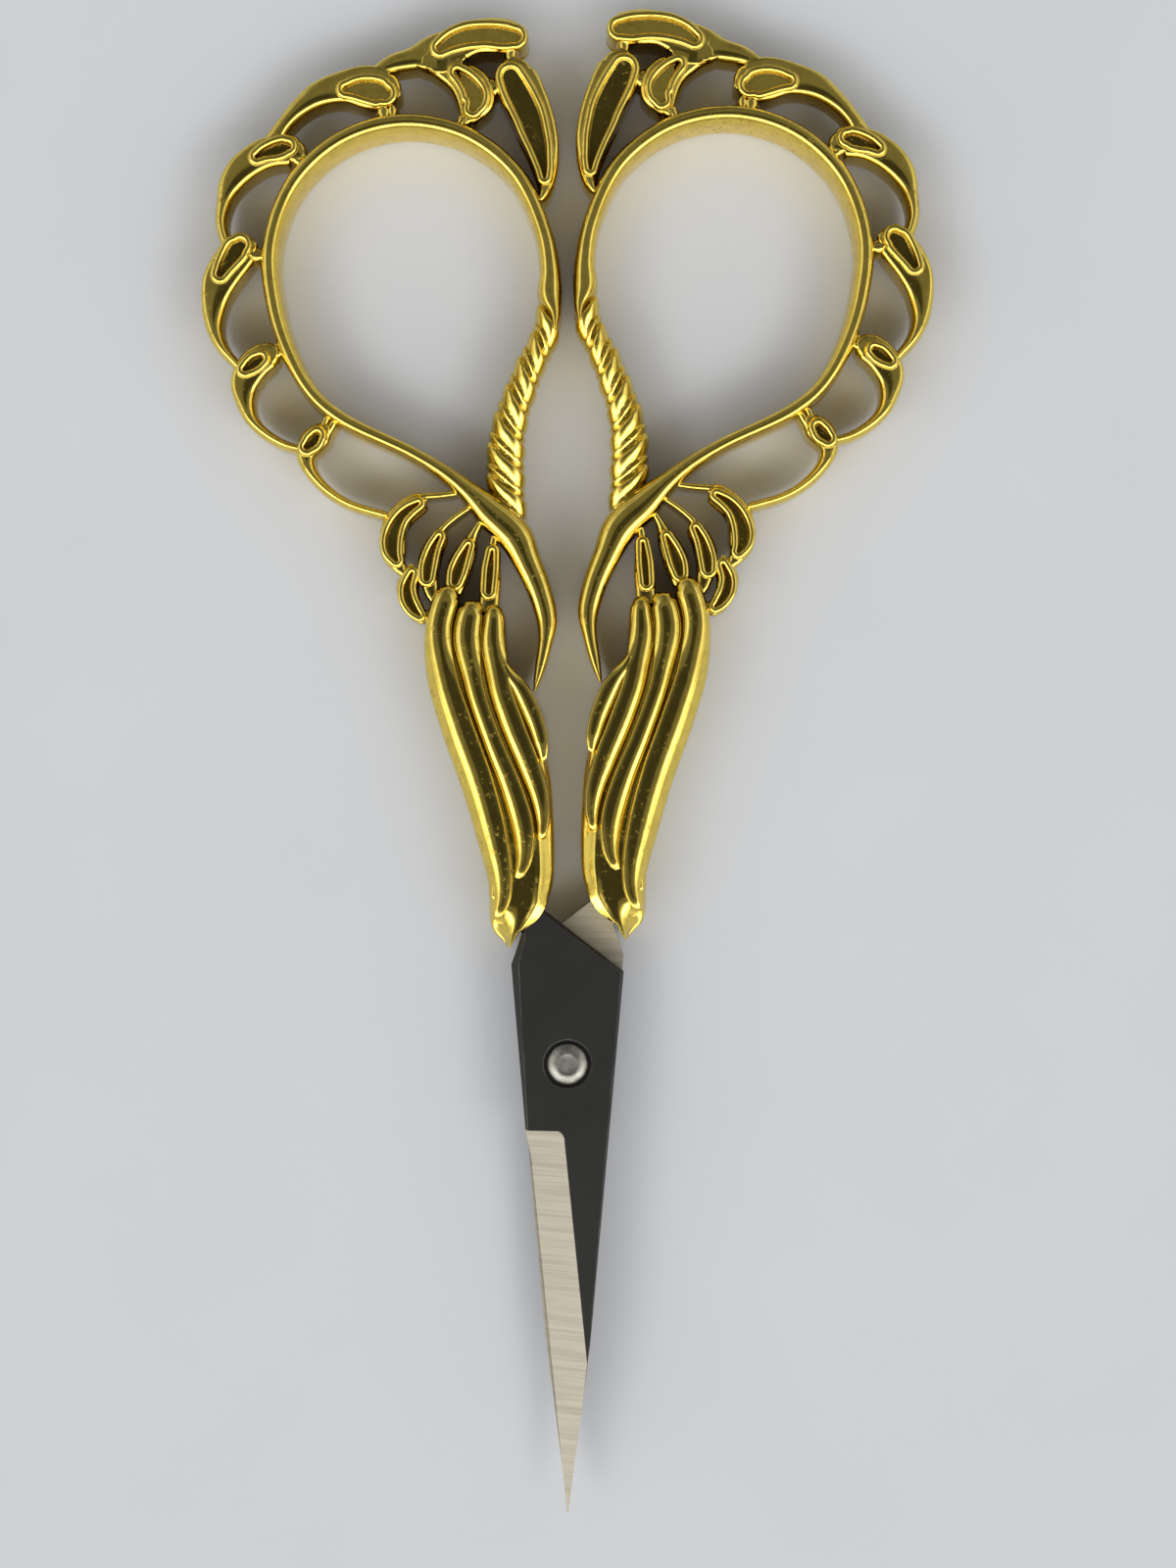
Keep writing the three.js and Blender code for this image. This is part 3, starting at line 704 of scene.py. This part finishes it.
# The fan below the bow: a thin stem and five petals
PETALS = [
    [wing(-4.1, 37, 0.45), wing(-5.6, 36.8, 0.45), wing(-7.2, 36.7, 0.5)],
    [wing(-6.7, 36.45, 0.9), wing(-7.6, 36.4, 1.2), wing(-8.6, 35.6, 1.6), wing(-9.3, 34.5, 2),
     wing(-9.5, 33.1, 2.15), wing(-9.4, 31.9, 1.95), wing(-9, 31, 1.2), wing(-8.5, 30.3, 0.9)],
    [wing(-7.9, 31.2, 0.7), wing(-8.2, 30.2, 1.3), wing(-8.5, 29.2, 1.4), wing(-8.3, 28.2, 1.3),
     wing(-7.6, 27.3, 1.1), wing(-6.2, 26.8, 0.8)],
    [wing(-2.9, 36, 0.4), wing(-4.4, 35, 0.45), wing(-5.5, 34, 0.55), wing(-6.2, 32.8, 1.3),
     wing(-6.6, 31.4, 1.7), wing(-6.6, 30.3, 1.6), wing(-6.1, 28, 0.9)],
    [wing(-2.1, 35, 0.4), wing(-2.9, 33.6, 0.7), wing(-3.4, 32.4, 1.6), wing(-4, 31, 2),
     wing(-4.3, 29.8, 1.7), wing(-4.5, 28.2, 0.9)],
    [wing(-1.1, 34, 0.4), wing(-1.4, 32, 0.9), wing(-1.4, 30.8, 1.4), wing(-1.5, 29.4, 1.6),
     wing(-1.7, 27, 1.6)],
]

# The sunk cell of each petal
PETAL_CELLS = [
    [wing(-7.4, 36.1, 0.24), wing(-8.2, 35.6, 0.5), wing(-8.9, 34.9, 0.66), wing(-9.4, 33.9, 0.88),
     wing(-9.6, 32.9, 0.96), wing(-9.5, 32.1, 0.76), wing(-9.2, 31.5, 0.32)],
    [wing(-7.9, 30.4, 0.24), wing(-8.3, 29.3, 0.52), wing(-8.2, 28.3, 0.64), wing(-7.7, 27.4, 0.48),
     wing(-7.3, 27, 0.2)],
    [wing(-5.7, 33.4, 0.2), wing(-6.2, 32.4, 0.45), wing(-6.6, 31, 0.65), wing(-6.7, 30, 0.5)],
    [wing(-3.3, 32.7, 0.2), wing(-3.8, 31.6, 0.6), wing(-4.2, 30.5, 0.75), wing(-4.4, 29.7, 0.5)],
    [wing(-1.35, 32.2, 0.2), wing(-1.5, 30.8, 0.45), wing(-1.65, 28.9, 0.4)],
]

# The feathers from the outer one to the short one beside the leaf
FEATHERS = [
    [wing(-4.5, 29.4, 1.9), wing(-5.1, 28.2, 2.3), wing(-5.7, 25.6, 2.4), wing(-5.4, 22, 2.6),
     wing(-4.2, 18, 2.8), wing(-2.5, 13.2, 2.8), wing(-1.3, 8.8, 2.6), wing(-0.7, 5.6, 2.1),
     wing(-0.7, 3.8, 1.7), wing(-1.2, 2.1, 0.9)],
    [wing(-2.6, 28.2, 1.9), wing(-3.1, 27, 2.4), wing(-3.4, 24.8, 2.6), wing(-3, 21.2, 2.1),
     wing(-1.4, 16.4, 2.1), wing(-0.1, 13.2, 2.3), wing(0.9, 10, 2.4), wing(1.1, 8.2, 2.1),
     wing(1, 6.8, 1.6), wing(0.5, 5.4, 0.9)],
    [wing(-1.2, 27.9, 1.5), wing(-1.2, 26.5, 1.9), wing(-1.3, 24, 2.4), wing(-0.9, 21, 2.4),
     wing(0.1, 18, 2.5), wing(1.4, 14.8, 2.4), wing(2.3, 12.2, 2), wing(2.6, 10.2, 1.5),
     wing(2.5, 8.5, 0.8)],
    [wing(-0.5, 23.4, 0.4), wing(0.1, 22, 1.4), wing(1.15, 20.1, 2), wing(2.05, 18, 1.9),
     wing(2.5, 16.4, 1.6), wing(2.75, 14.9, 0.7)],
]

# The ground under the feathers
QUILT = [
    [wing(-3.4, 24.8, 3.4), wing(-3, 21.2, 3.4), wing(-1.4, 16.4, 3.4), wing(-0.1, 13.2, 3.7),
     wing(0.7, 10, 3.8), wing(0.9, 7.6, 3)],
    [wing(-0.3, 21.5, 2.2), wing(0.6, 18, 2.9), wing(1.7, 15, 2.6), wing(2.3, 12, 2)],
]

# The shank from under the feathers down to its slanted mouth
SHANK = [
    wing(-0.6, 18, 5.6), wing(-0.3, 14, 7.2), wing(0.4, 10, 6.6), wing(0.95, 5.6, 5.5),
    wing(0.78, 4.3, 5.1), wing(0.54, 3.4, 4.75), wing(0.1, 2.3, 3.75), wing(-0.13, 1.3, 2.6),
    wing(-0.05, 0.5, 1.25), wing(-0.03, -0.2, 0.3),
]

# Steps along the strokes, short enough for what each one carries
RING_STEP = 0.3
ROPE_STEP = 0.1
BORDER_STEP = 0.14
NECK_STEP = 0.1
QUILT_STEP = 0.3
FEATHER_STEP = 0.18
SHANK_STEP = 0.2


def smooth(value, low, high):
    """A smooth rise from 0 at low to 1 at high."""
    t = min(max((value - low) / (high - low), 0.0), 1.0)
    return t * t * (3 - 2 * t)


def round_end(gone, reach):
    """A rise like the end of a round bar, from 0 at the end to 1 at that reach."""
    return math.sqrt(1 - (1 - min(gone / reach, 1.0)) ** 2)


def ring_section(half, share):
    """The ring is a rounded band that flattens into a leaf and sinks towards the leaf's tip."""
    leaf = smooth(share, 0.76, 0.86) * (1 - smooth(share, 0.94, 1.0))
    sunk = 0.35 * smooth(share, 0.82, 1.0)
    crown = 0.16 * leaf
    points = oval(half, HALF_HANDLE * (1 - sunk), power=2.85 + 1.5 * leaf, count=44)
    points[:, 1] *= 1 - crown * (points[:, 0] / half) ** 2
    return points


def rope_section(height):
    """A twisted section: a thick and a thin strand in turn, each with a steep and a gentle side."""
    pairs, turns, groove = 2, 3.8, 0.24
    thick, thin, thin_rise = 0.7, 0.3, 0.66
    steep, gentle = 0.26, 0.74
    side_groove = 0.6
    broad = oval(1.0, 1.0, power=2.6, count=90)

    def section(half, share):
        lean = 0.2 + 0.08 * share
        phase = ((1 - broad[:, 0]) * lean + share * turns) * pairs % 1.0
        along = np.where(phase < thick, phase / thick, (phase - thick) / thin)
        rising = 1 - (1 - along / steep) ** 2
        falling = 1 - (np.maximum(along - steep, 0.0) / gentle) ** 1.7
        rise = np.where(along < steep, rising, falling) * np.where(phase < thick, 1.0, thin_rise)
        sunk = groove * (1 - rise)
        return broad * np.column_stack([1 - side_groove * sunk, 1 - sunk]) * np.array([half, height])

    return section


def feather_section(half, share):
    """A feather: crowned at its top, and lower down broad on the right and falling away on the left."""
    nose = 0.55 + 0.45 * round_end(share, 0.06)
    tip = (1 - 0.1 * smooth(share, 0.8, 1.0)) * (0.7 + 0.3 * round_end(1 - share, 0.04))
    s = np.linspace(1.0, -1.0, 30)
    edge = np.clip((np.abs(s) - 0.86) / 0.14, 0.0, 1.0) ** 2
    crowned = 1 - 0.29 * np.abs(s) ** 3 - 0.26 * edge
    away = s - 0.35
    leaning = np.where(away < 0, 1 - 0.235 * np.abs(away) ** 2.7, 1 - 0.07 * away**2 - 0.24 * edge)
    top = crowned + (leaning - crowned) * smooth(share, 0.1, 0.3)
    upper = np.column_stack([s, top])
    lower = upper[::-1] * np.array([1.0, -1.0])
    return np.concatenate([upper, lower]) * np.array([half, HALF_HANDLE * nose * tip])


def quilt_section(half, share):
    """The floor of the grooves between the feathers."""
    return oval(half, 0.76 * HALF_HANDLE, power=6.0)


# Depths of the other cells as shares of the plain ones, and how steeply the deep floors fall
DEEP_CELL = 1.5
PETAL_CELL = 1.4
DEEP_SLOPE = 0.12

# A cell's floor lies in from its line and its mouth out from it, and its cutter stands clear of the face
CELL_DRAFT = (-0.08, 0.06)
CELL_CLEAR = 0.3

# Beads lie outside a cell's line by a share of their radius, and those of the petals are thinner
BEAD_OUT = 0.8
PETAL_BEAD = 0.9

# The field and the necks lie a little lower than the border
FIELD_BELOW = 0.02
FIELD_ROUND = 0.12
NECK_BELOW = 0.12


def casting(sizes):
    """One handle as one closed casting, the left one, with its pocket for the tang."""
    land = sizes.border_height / MM / 2
    fan = sizes.fan_height / MM / 2
    depth = sizes.cell_depth / MM
    edge = sizes.border_round / MM
    bead_radius = sizes.bead_width / MM / 2
    shank_half = sizes.shank_height / MM / 2

    def land_section(half, share):
        """The border, crowned where it is narrow."""
        points = slab(half, land, edge)
        crown = 0.26 * (1 - smooth(2 * half, 1.2, 3.0))
        points[:, 1] *= 1 - crown * (points[:, 0] / half) ** 2
        return points

    def fan_section(half, share):
        return slab(half, fan, edge)

    def field_section(half, share):
        return slab(half, land - FIELD_BELOW, FIELD_ROUND)

    def neck_section(half, share):
        return oval(half, land - NECK_BELOW, power=2.4)

    def shank_section(half, share):
        rise = 0.62 + 0.38 * smooth(share, 0.25, 0.6)
        mouth = smooth(share, 0.7, 0.78)
        fall = smooth(share, 0.8, 0.92)
        return ridged(half, shank_half * rise, mouth, fall)

    def border(lines, section):
        return [stroke(line, section, BORDER_STEP, round_ends=True) for line in lines]

    def floors(lines, top, deep, slope=0.0):
        """What is cut out of the cells on both faces, down to floors that may fall towards the pivot."""
        cuts = []
        for line in lines:
            low, high = (outline(line, draft) for draft in CELL_DRAFT)
            middle = low.mean(axis=0)
            down = -middle / np.linalg.norm(middle)
            floor = top - deep - slope * (low - middle) @ down
            rings = ((low, floor), (high, np.full(len(high), top + CELL_CLEAR)))
            cuts += [skin([np.column_stack([ring, face * z]) for ring, z in rings]) for face in (1, -1)]
        return cuts

    def beads(lines, top, radius):
        """The beads round the cells on both faces."""
        middle = top + sizes.bead_rise / MM - radius
        paths = [outline(line, BEAD_OUT * radius) for line in lines]
        return [bead(path, face * middle, radius) for path in paths for face in (1, -1)]

    ring = stroke(RING, ring_section, RING_STEP)
    rope = stroke(ROPE, rope_section(sizes.rope_height / MM / 2), ROPE_STEP)
    shank = stroke(SHANK, shank_section, SHANK_STEP)
    return carved([
        ("UNION", border(SCROLLS, land_section)),
        ("UNION", border([FIELD], field_section)),
        ("UNION", border(PETALS, fan_section)),
        ("DIFFERENCE", floors(CELLS, land, depth)),
        ("DIFFERENCE", floors(DEEP_CELLS, land, DEEP_CELL * depth, DEEP_SLOPE)),
        ("DIFFERENCE", floors(PETAL_CELLS, fan, PETAL_CELL * depth)),
        ("UNION", beads([*CELLS, *DEEP_CELLS], land, bead_radius)),
        ("UNION", beads(PETAL_CELLS, fan, PETAL_BEAD * bead_radius)),
        ("UNION", [stroke(line, neck_section, NECK_STEP, round_ends=True) for line in NECKS]),
        ("UNION", [stroke(line, quilt_section, QUILT_STEP) for line in QUILT]),
        ("UNION", [stroke(line, feather_section, FEATHER_STEP, round_ends=True) for line in FEATHERS]),
        ("UNION", [ring, rope, shank]),
        ("DIFFERENCE", [tang_pocket()]),
    ])


# The blade's outline in the drawing: how its sides run, and where it changes
FAR_SHOULDER = 7.5
NEAR_SHOULDER = 8.1
SIDE_TAPER = 0.09
EDGE_TAPER = 0.102
POINT_LENGTH = 14.2
TIP_HALF = 0.05
HEEL_TOP = 5.4
HEEL_FOOT = 5.9
EDGE_START = 8.0
TANG_END = 23.5

# The chamfers on the blade's outer face, the thickness of its cutting edge, and its room in the casting
CHAMFER_DEPTH = 0.3
CHAMFER = 0.2
FINE_CHAMFER = 0.06
NECK_CHAMFER = 0.3
SHOULDER_CHAMFER = 0.6
EDGE_LAND = 0.1
TANG_ROOM = 0.1

# The rivet, its hole and its seat
HOLE_RADIUS = 1.2
RIVET_SHANK = 1.1
HEAD_SEAT = 0.3
HEAD_LIP = 0.14
DISH_DEPTH = 0.03
RECESS_DEPTH = 0.35
RECESS_LIP = 0.05
RECESS_FLARE = 0.3


def edge_at(y):
    """Where the cutting edge lies, left of the pivot's line."""
    return -EDGE_TAPER * (y + BLADE_REACH)


def side_at(y):
    """Half the blade's width above its point."""
    return SHOULDER_HALF - SIDE_TAPER * (FAR_SHOULDER - y)


def blade_outline():
    """Corners of the blade from the tip up the far side to the tang and back, with the chamfer at each."""
    broken = POINT_LENGTH - BLADE_REACH
    tang = [
        (-1.75, 12.4, CHAMFER), (-2.6, 13.2, 0.0), (-3.45, TANG_END, 0.0),
        (-5.65, TANG_END, 0.0), (-3.75, 10.6, NECK_CHAMFER),
    ]
    heel = [(-side_at(-HEEL_TOP), -HEEL_TOP, CHAMFER), (-side_at(-HEEL_FOOT), -HEEL_FOOT, FINE_CHAMFER)]
    return [
        (TIP_HALF, -BLADE_REACH, 0.0),
        (side_at(broken), broken, FINE_CHAMFER),
        (SHOULDER_HALF, FAR_SHOULDER, CHAMFER),
        *tang,
        (-SHOULDER_HALF, NEAR_SHOULDER, SHOULDER_CHAMFER),
        *heel,
        (edge_at(-EDGE_START), -EDGE_START, 0.0),
        (-TIP_HALF, -BLADE_REACH, 0.0),
    ]


def inset(corners):
    """The corners moved inwards by their chamfers."""
    points = np.array(corners)[:, :2]
    ahead = np.roll(points, -1, axis=0) - points
    ahead /= np.linalg.norm(ahead, axis=1)[:, None]
    left = np.column_stack([-ahead[:, 1], ahead[:, 0]])
    before = np.roll(left, 1, axis=0)
    meet = (left + before) / (1 + (left * before).sum(axis=1))[:, None]
    return points + meet * np.array(corners)[:, 2:]


def plate():
    """The blade's plate with chamfered edges on its outer face."""
    corners = blade_outline()
    points = np.array(corners)[:, :2]
    levels = ((points, INNER_FACE), (points, OUTER_FACE - CHAMFER_DEPTH), (inset(corners), OUTER_FACE))
    return skin([np.column_stack([ring, np.full(len(ring), z)]) for ring, z in levels])


def tang_pocket():
    """The room that the casting keeps round the blade."""
    corners = [(x, y, -TANG_ROOM) for x, y, _ in blade_outline()]
    return prism(inset(corners), INNER_FACE - TANG_ROOM, OUTER_FACE + TANG_ROOM)


def wheel_cut(sizes):
    """What the grinding wheel takes off: a slope to the cutting edge that starts in a rounded corner."""
    start = sizes.bevel_start / MM
    width = sizes.bevel_width / MM
    slope = (OUTER_FACE - INNER_FACE - EDGE_LAND) / width
    corner, ramp, over = 0.75, 1.0, 1.2
    dip, skim = 0.03, 0.003
    sections = []
    for gone in [*np.linspace(0.0, ramp, 12), BLADE_REACH - start + over]:
        y = -start - gone
        missing = max(corner - gone, 0.0)
        line = edge_at(y) + width - corner + math.sqrt(corner**2 - missing**2)
        scoop = (1 + dip) * (1 - (1 - min(gone / ramp, 1.0)) ** 2) - dip
        left = edge_at(y) - over
        right = line + over
        sections.append(np.array([
            (left, y, OUTER_FACE - slope * scoop * (line - left)),
            (line, y, OUTER_FACE + skim),
            (right, y, OUTER_FACE + over),
            (right, y, OUTER_FACE + 3 * over),
            (left, y, OUTER_FACE + 3 * over),
        ]))
    return skin(sections)


def rivet_cuts(sizes, reach):
    """The rivet's hole and the recess round its head, at that reach from the pivot along the blade."""
    seat = sizes.recess / MM / 2
    floor, lip = OUTER_FACE - RECESS_DEPTH, OUTER_FACE - RECESS_LIP
    clear = 1.0
    profiles = (
        [(HOLE_RADIUS, INNER_FACE - clear), (HOLE_RADIUS, OUTER_FACE + clear)],
        [(seat, floor), (seat, lip), (seat + RECESS_FLARE, lip + RECESS_FLARE)],
    )
    cuts = []
    for profile in profiles:
        points, faces = turned(profile)
        cuts.append((points + np.array([0.0, reach, 0.0]), faces))
    return cuts


def is_bare(face, start):
    """Whether a face is bare steel: the inner face, or the bevel and the edge below its start."""
    inner = face.normal.z < -0.9
    ground = face.center.y < -start and face.normal.x < 0.15 and face.center.z < OUTER_FACE - SLIVER
    bevel = face.normal.z > 0.2
    edge = face.center.y < -EDGE_START - 0.1
    return inner or ground and (bevel or edge)


def blade(sizes, hole_reach):
    """One blade, drawn from its outer face, with its bare faces marked for the second material."""
    cuts = [wheel_cut(sizes), *rivet_cuts(sizes, hole_reach)]
    mesh = carved([("UNION", [plate()]), ("DIFFERENCE", cuts)])
    for face in mesh.polygons:
        face.material_index = int(is_bare(face, sizes.bevel_start / MM))
    return mesh


def rivet_profile(sizes):
    """The rivet from the middle of one head to the middle of the other: lip, dome and dish."""
    seat = OUTER_FACE - HEAD_SEAT
    lip = seat + HEAD_LIP
    dish = sizes.dish / MM / 2
    arc = np.linspace(0.0, math.pi / 2, 10)
    wide, tall = RIVET_HEAD - dish, RIVET_CROWN - lip
    dome = [(dish + wide * math.cos(a) ** 1.25, lip + tall * math.sin(a) ** 1.25) for a in arc]
    shares = (0.95, 0.88, 0.75, 0.5, 0.25, 0.02)
    hollow = [(dish * share, RIVET_CROWN - DISH_DEPTH * (1 - share**6)) for share in shares]
    upper = [(RIVET_SHANK, seat), (RIVET_HEAD, seat), *dome, *hollow]
    return [(r, -z) for r, z in reversed(upper)] + upper


class SCISSORS_OT_castings(bpy.types.Operator):
    """Cast both handles: ring, rope, scrolls, fan, feathers and shank."""

    bl_idname = "scissors.castings"
    bl_label = "Cast the handles"

    def execute(self, context):
        material = gold_plate(context.scene.scissors_finishes)
        left = casting(context.scene.scissors_casting)
        right = left.copy()
        left.transform(front_place())
        right.transform(rear_place())
        settle("left_casting", left, [material], "front_half", "left_handle")
        settle("right_casting", right, [material], "rear_half", "right_handle")
        return {"FINISHED"}


class SCISSORS_OT_blades(bpy.types.Operator):
    """Make both blades: black plates with bare ground bevels and inner faces."""

    bl_idname = "scissors.blades"
    bl_label = "Grind the blades"

    def execute(self, context):
        finishes = context.scene.scissors_finishes
        materials = [black_coat(finishes), ground_steel(finishes)]
        front = blade(context.scene.scissors_blades, 0.0)
        rear = blade(context.scene.scissors_blades, -STAGGER / MM)
        front.transform(front_place())
        rear.transform(rear_place())
        settle(
            "front_ground_blade", front, materials, "front_half", "front_blade", BLADE_CREASE)
        settle(
            "rear_ground_blade", rear, materials, "rear_half", "rear_blade", BLADE_CREASE)
        return {"FINISHED"}


class SCISSORS_OT_rivet(bpy.types.Operator):
    """Set the rivet with its domed and dished heads."""

    bl_idname = "scissors.rivet"
    bl_label = "Set the rivet"

    def execute(self, context):
        material = rivet_steel(context.scene.scissors_finishes)
        mesh = carved([("UNION", [turned(rivet_profile(context.scene.scissors_blades))])])
        mesh.transform(front_place())
        settle("dished_rivet", mesh, [material], "rear_half", "pivot_rivet")
        return {"FINISHED"}


class SCISSORS_OT_stage(bpy.types.Operator):
    """Lay the pale floor, light it softly and place the camera over the scissors."""

    bl_idname = "scissors.stage"
    bl_label = "Set the stage"

    def execute(self, context):
        scene = context.scene
        scene.view_settings.view_transform = "Standard"
        lay_floor(scene)
        light_room(scene)
        place_camera(scene)
        return {"FINISHED"}


def lay_floor(scene):
    """A plain floor at the height that the scissors lie on, in metres."""
    reach = 3.0
    corners = [(-reach, -reach, 0), (reach, -reach, 0), (reach, reach, 0), (-reach, reach, 0)]
    mesh = bpy.data.meshes.new("floor")
    mesh.from_pydata(corners, [], [(0, 1, 2, 3)])
    mesh.materials.append(pale_floor(scene.scissors_finishes))
    floor = bpy.data.objects.new("floor", mesh)
    scene.collection.objects.link(floor)


def light_room(scene):
    """Soft light from all round, strongest from the near side and dim overhead."""
    world = bpy.data.worlds.new("soft_room")
    scene.world = world
    graph = Graph(world)
    way = graph.node("ShaderNodeTexCoord", output="Generated")
    x, y, z = (graph.node("ShaderNodeSeparateXYZ", None, {0: way}, axis) for axis in "XYZ")
    overhead = graph.step(z, low=0.74, high=0.93)
    middle = graph.step(z, low=0.972, high=0.992)
    near = graph.step(-y, low=0.1, high=0.36)
    window = graph.step(z, low=0.46, high=0.58) * (1 - graph.step(z, low=0.68, high=0.8))
    horizon = 1 - graph.step(z, low=0.06, high=0.34)
    near_wall = near * (1.7 + window * 3.6)
    side_walls = x * x * (1.1 + window * 1.6)
    far_wall = 0.15
    skyline = 0.7
    walls = (far_wall + near_wall + side_walls) * (1 - horizon) + horizon * skyline
    ceiling = 0.24 - middle * 0.18
    light = walls * (1 - overhead) + ceiling * overhead
    background = graph.node("ShaderNodeBackground", None, {"Strength": light})
    graph.node("ShaderNodeOutputWorld", None, {"Surface": background})


def place_camera(scene):
    """A camera that looks straight down, as the picture does."""
    stage = scene.scissors_stage
    data = bpy.data.cameras.new("camera")
    data.lens = data.sensor_width * stage.height / stage.view
    data.clip_start = 10 * MM
    camera = bpy.data.objects.new("camera", data)
    camera.location = Vector(stage.aim) + Vector((0.0, 0.0, stage.height))
    scene.collection.objects.link(camera)
    scene.camera = camera


class SCISSORS_PT_panel(bpy.types.Panel):
    """The scissors' pieces and sizes in the sidebar."""

    bl_idname = "SCISSORS_PT_panel"
    bl_label = "Embroidery Scissors"
    bl_space_type = "VIEW_3D"
    bl_region_type = "UI"
    bl_category = "Scissors"

    def draw(self, context):
        for operator in OPERATORS:
            self.layout.operator(operator.bl_idname)
        for group in GROUPS:
            box = self.layout.box()
            values = getattr(context.scene, group)
            for name in values.__annotations__:
                box.prop(values, name)


GROUPS = {
    "scissors_casting": CastingSizes,
    "scissors_blades": BladeSizes,
    "scissors_finishes": Finishes,
    "scissors_stage": StageSizes,
}
OPERATORS = (SCISSORS_OT_stage, SCISSORS_OT_castings, SCISSORS_OT_blades, SCISSORS_OT_rivet)
CLASSES = (*GROUPS.values(), *OPERATORS, SCISSORS_PT_panel)


def register():
    for cls in CLASSES:
        bpy.utils.register_class(cls)
    for name, group in GROUPS.items():
        setattr(bpy.types.Scene, name, PointerProperty(type=group))


def unregister():
    for name in GROUPS:
        delattr(bpy.types.Scene, name)
    for cls in reversed(CLASSES):
        bpy.utils.unregister_class(cls)


def main():
    register()
    bpy.ops.scissors.stage()
    bpy.ops.scissors.castings()
    bpy.ops.scissors.blades()
    bpy.ops.scissors.rivet()


if __name__ == "__main__":
    main()
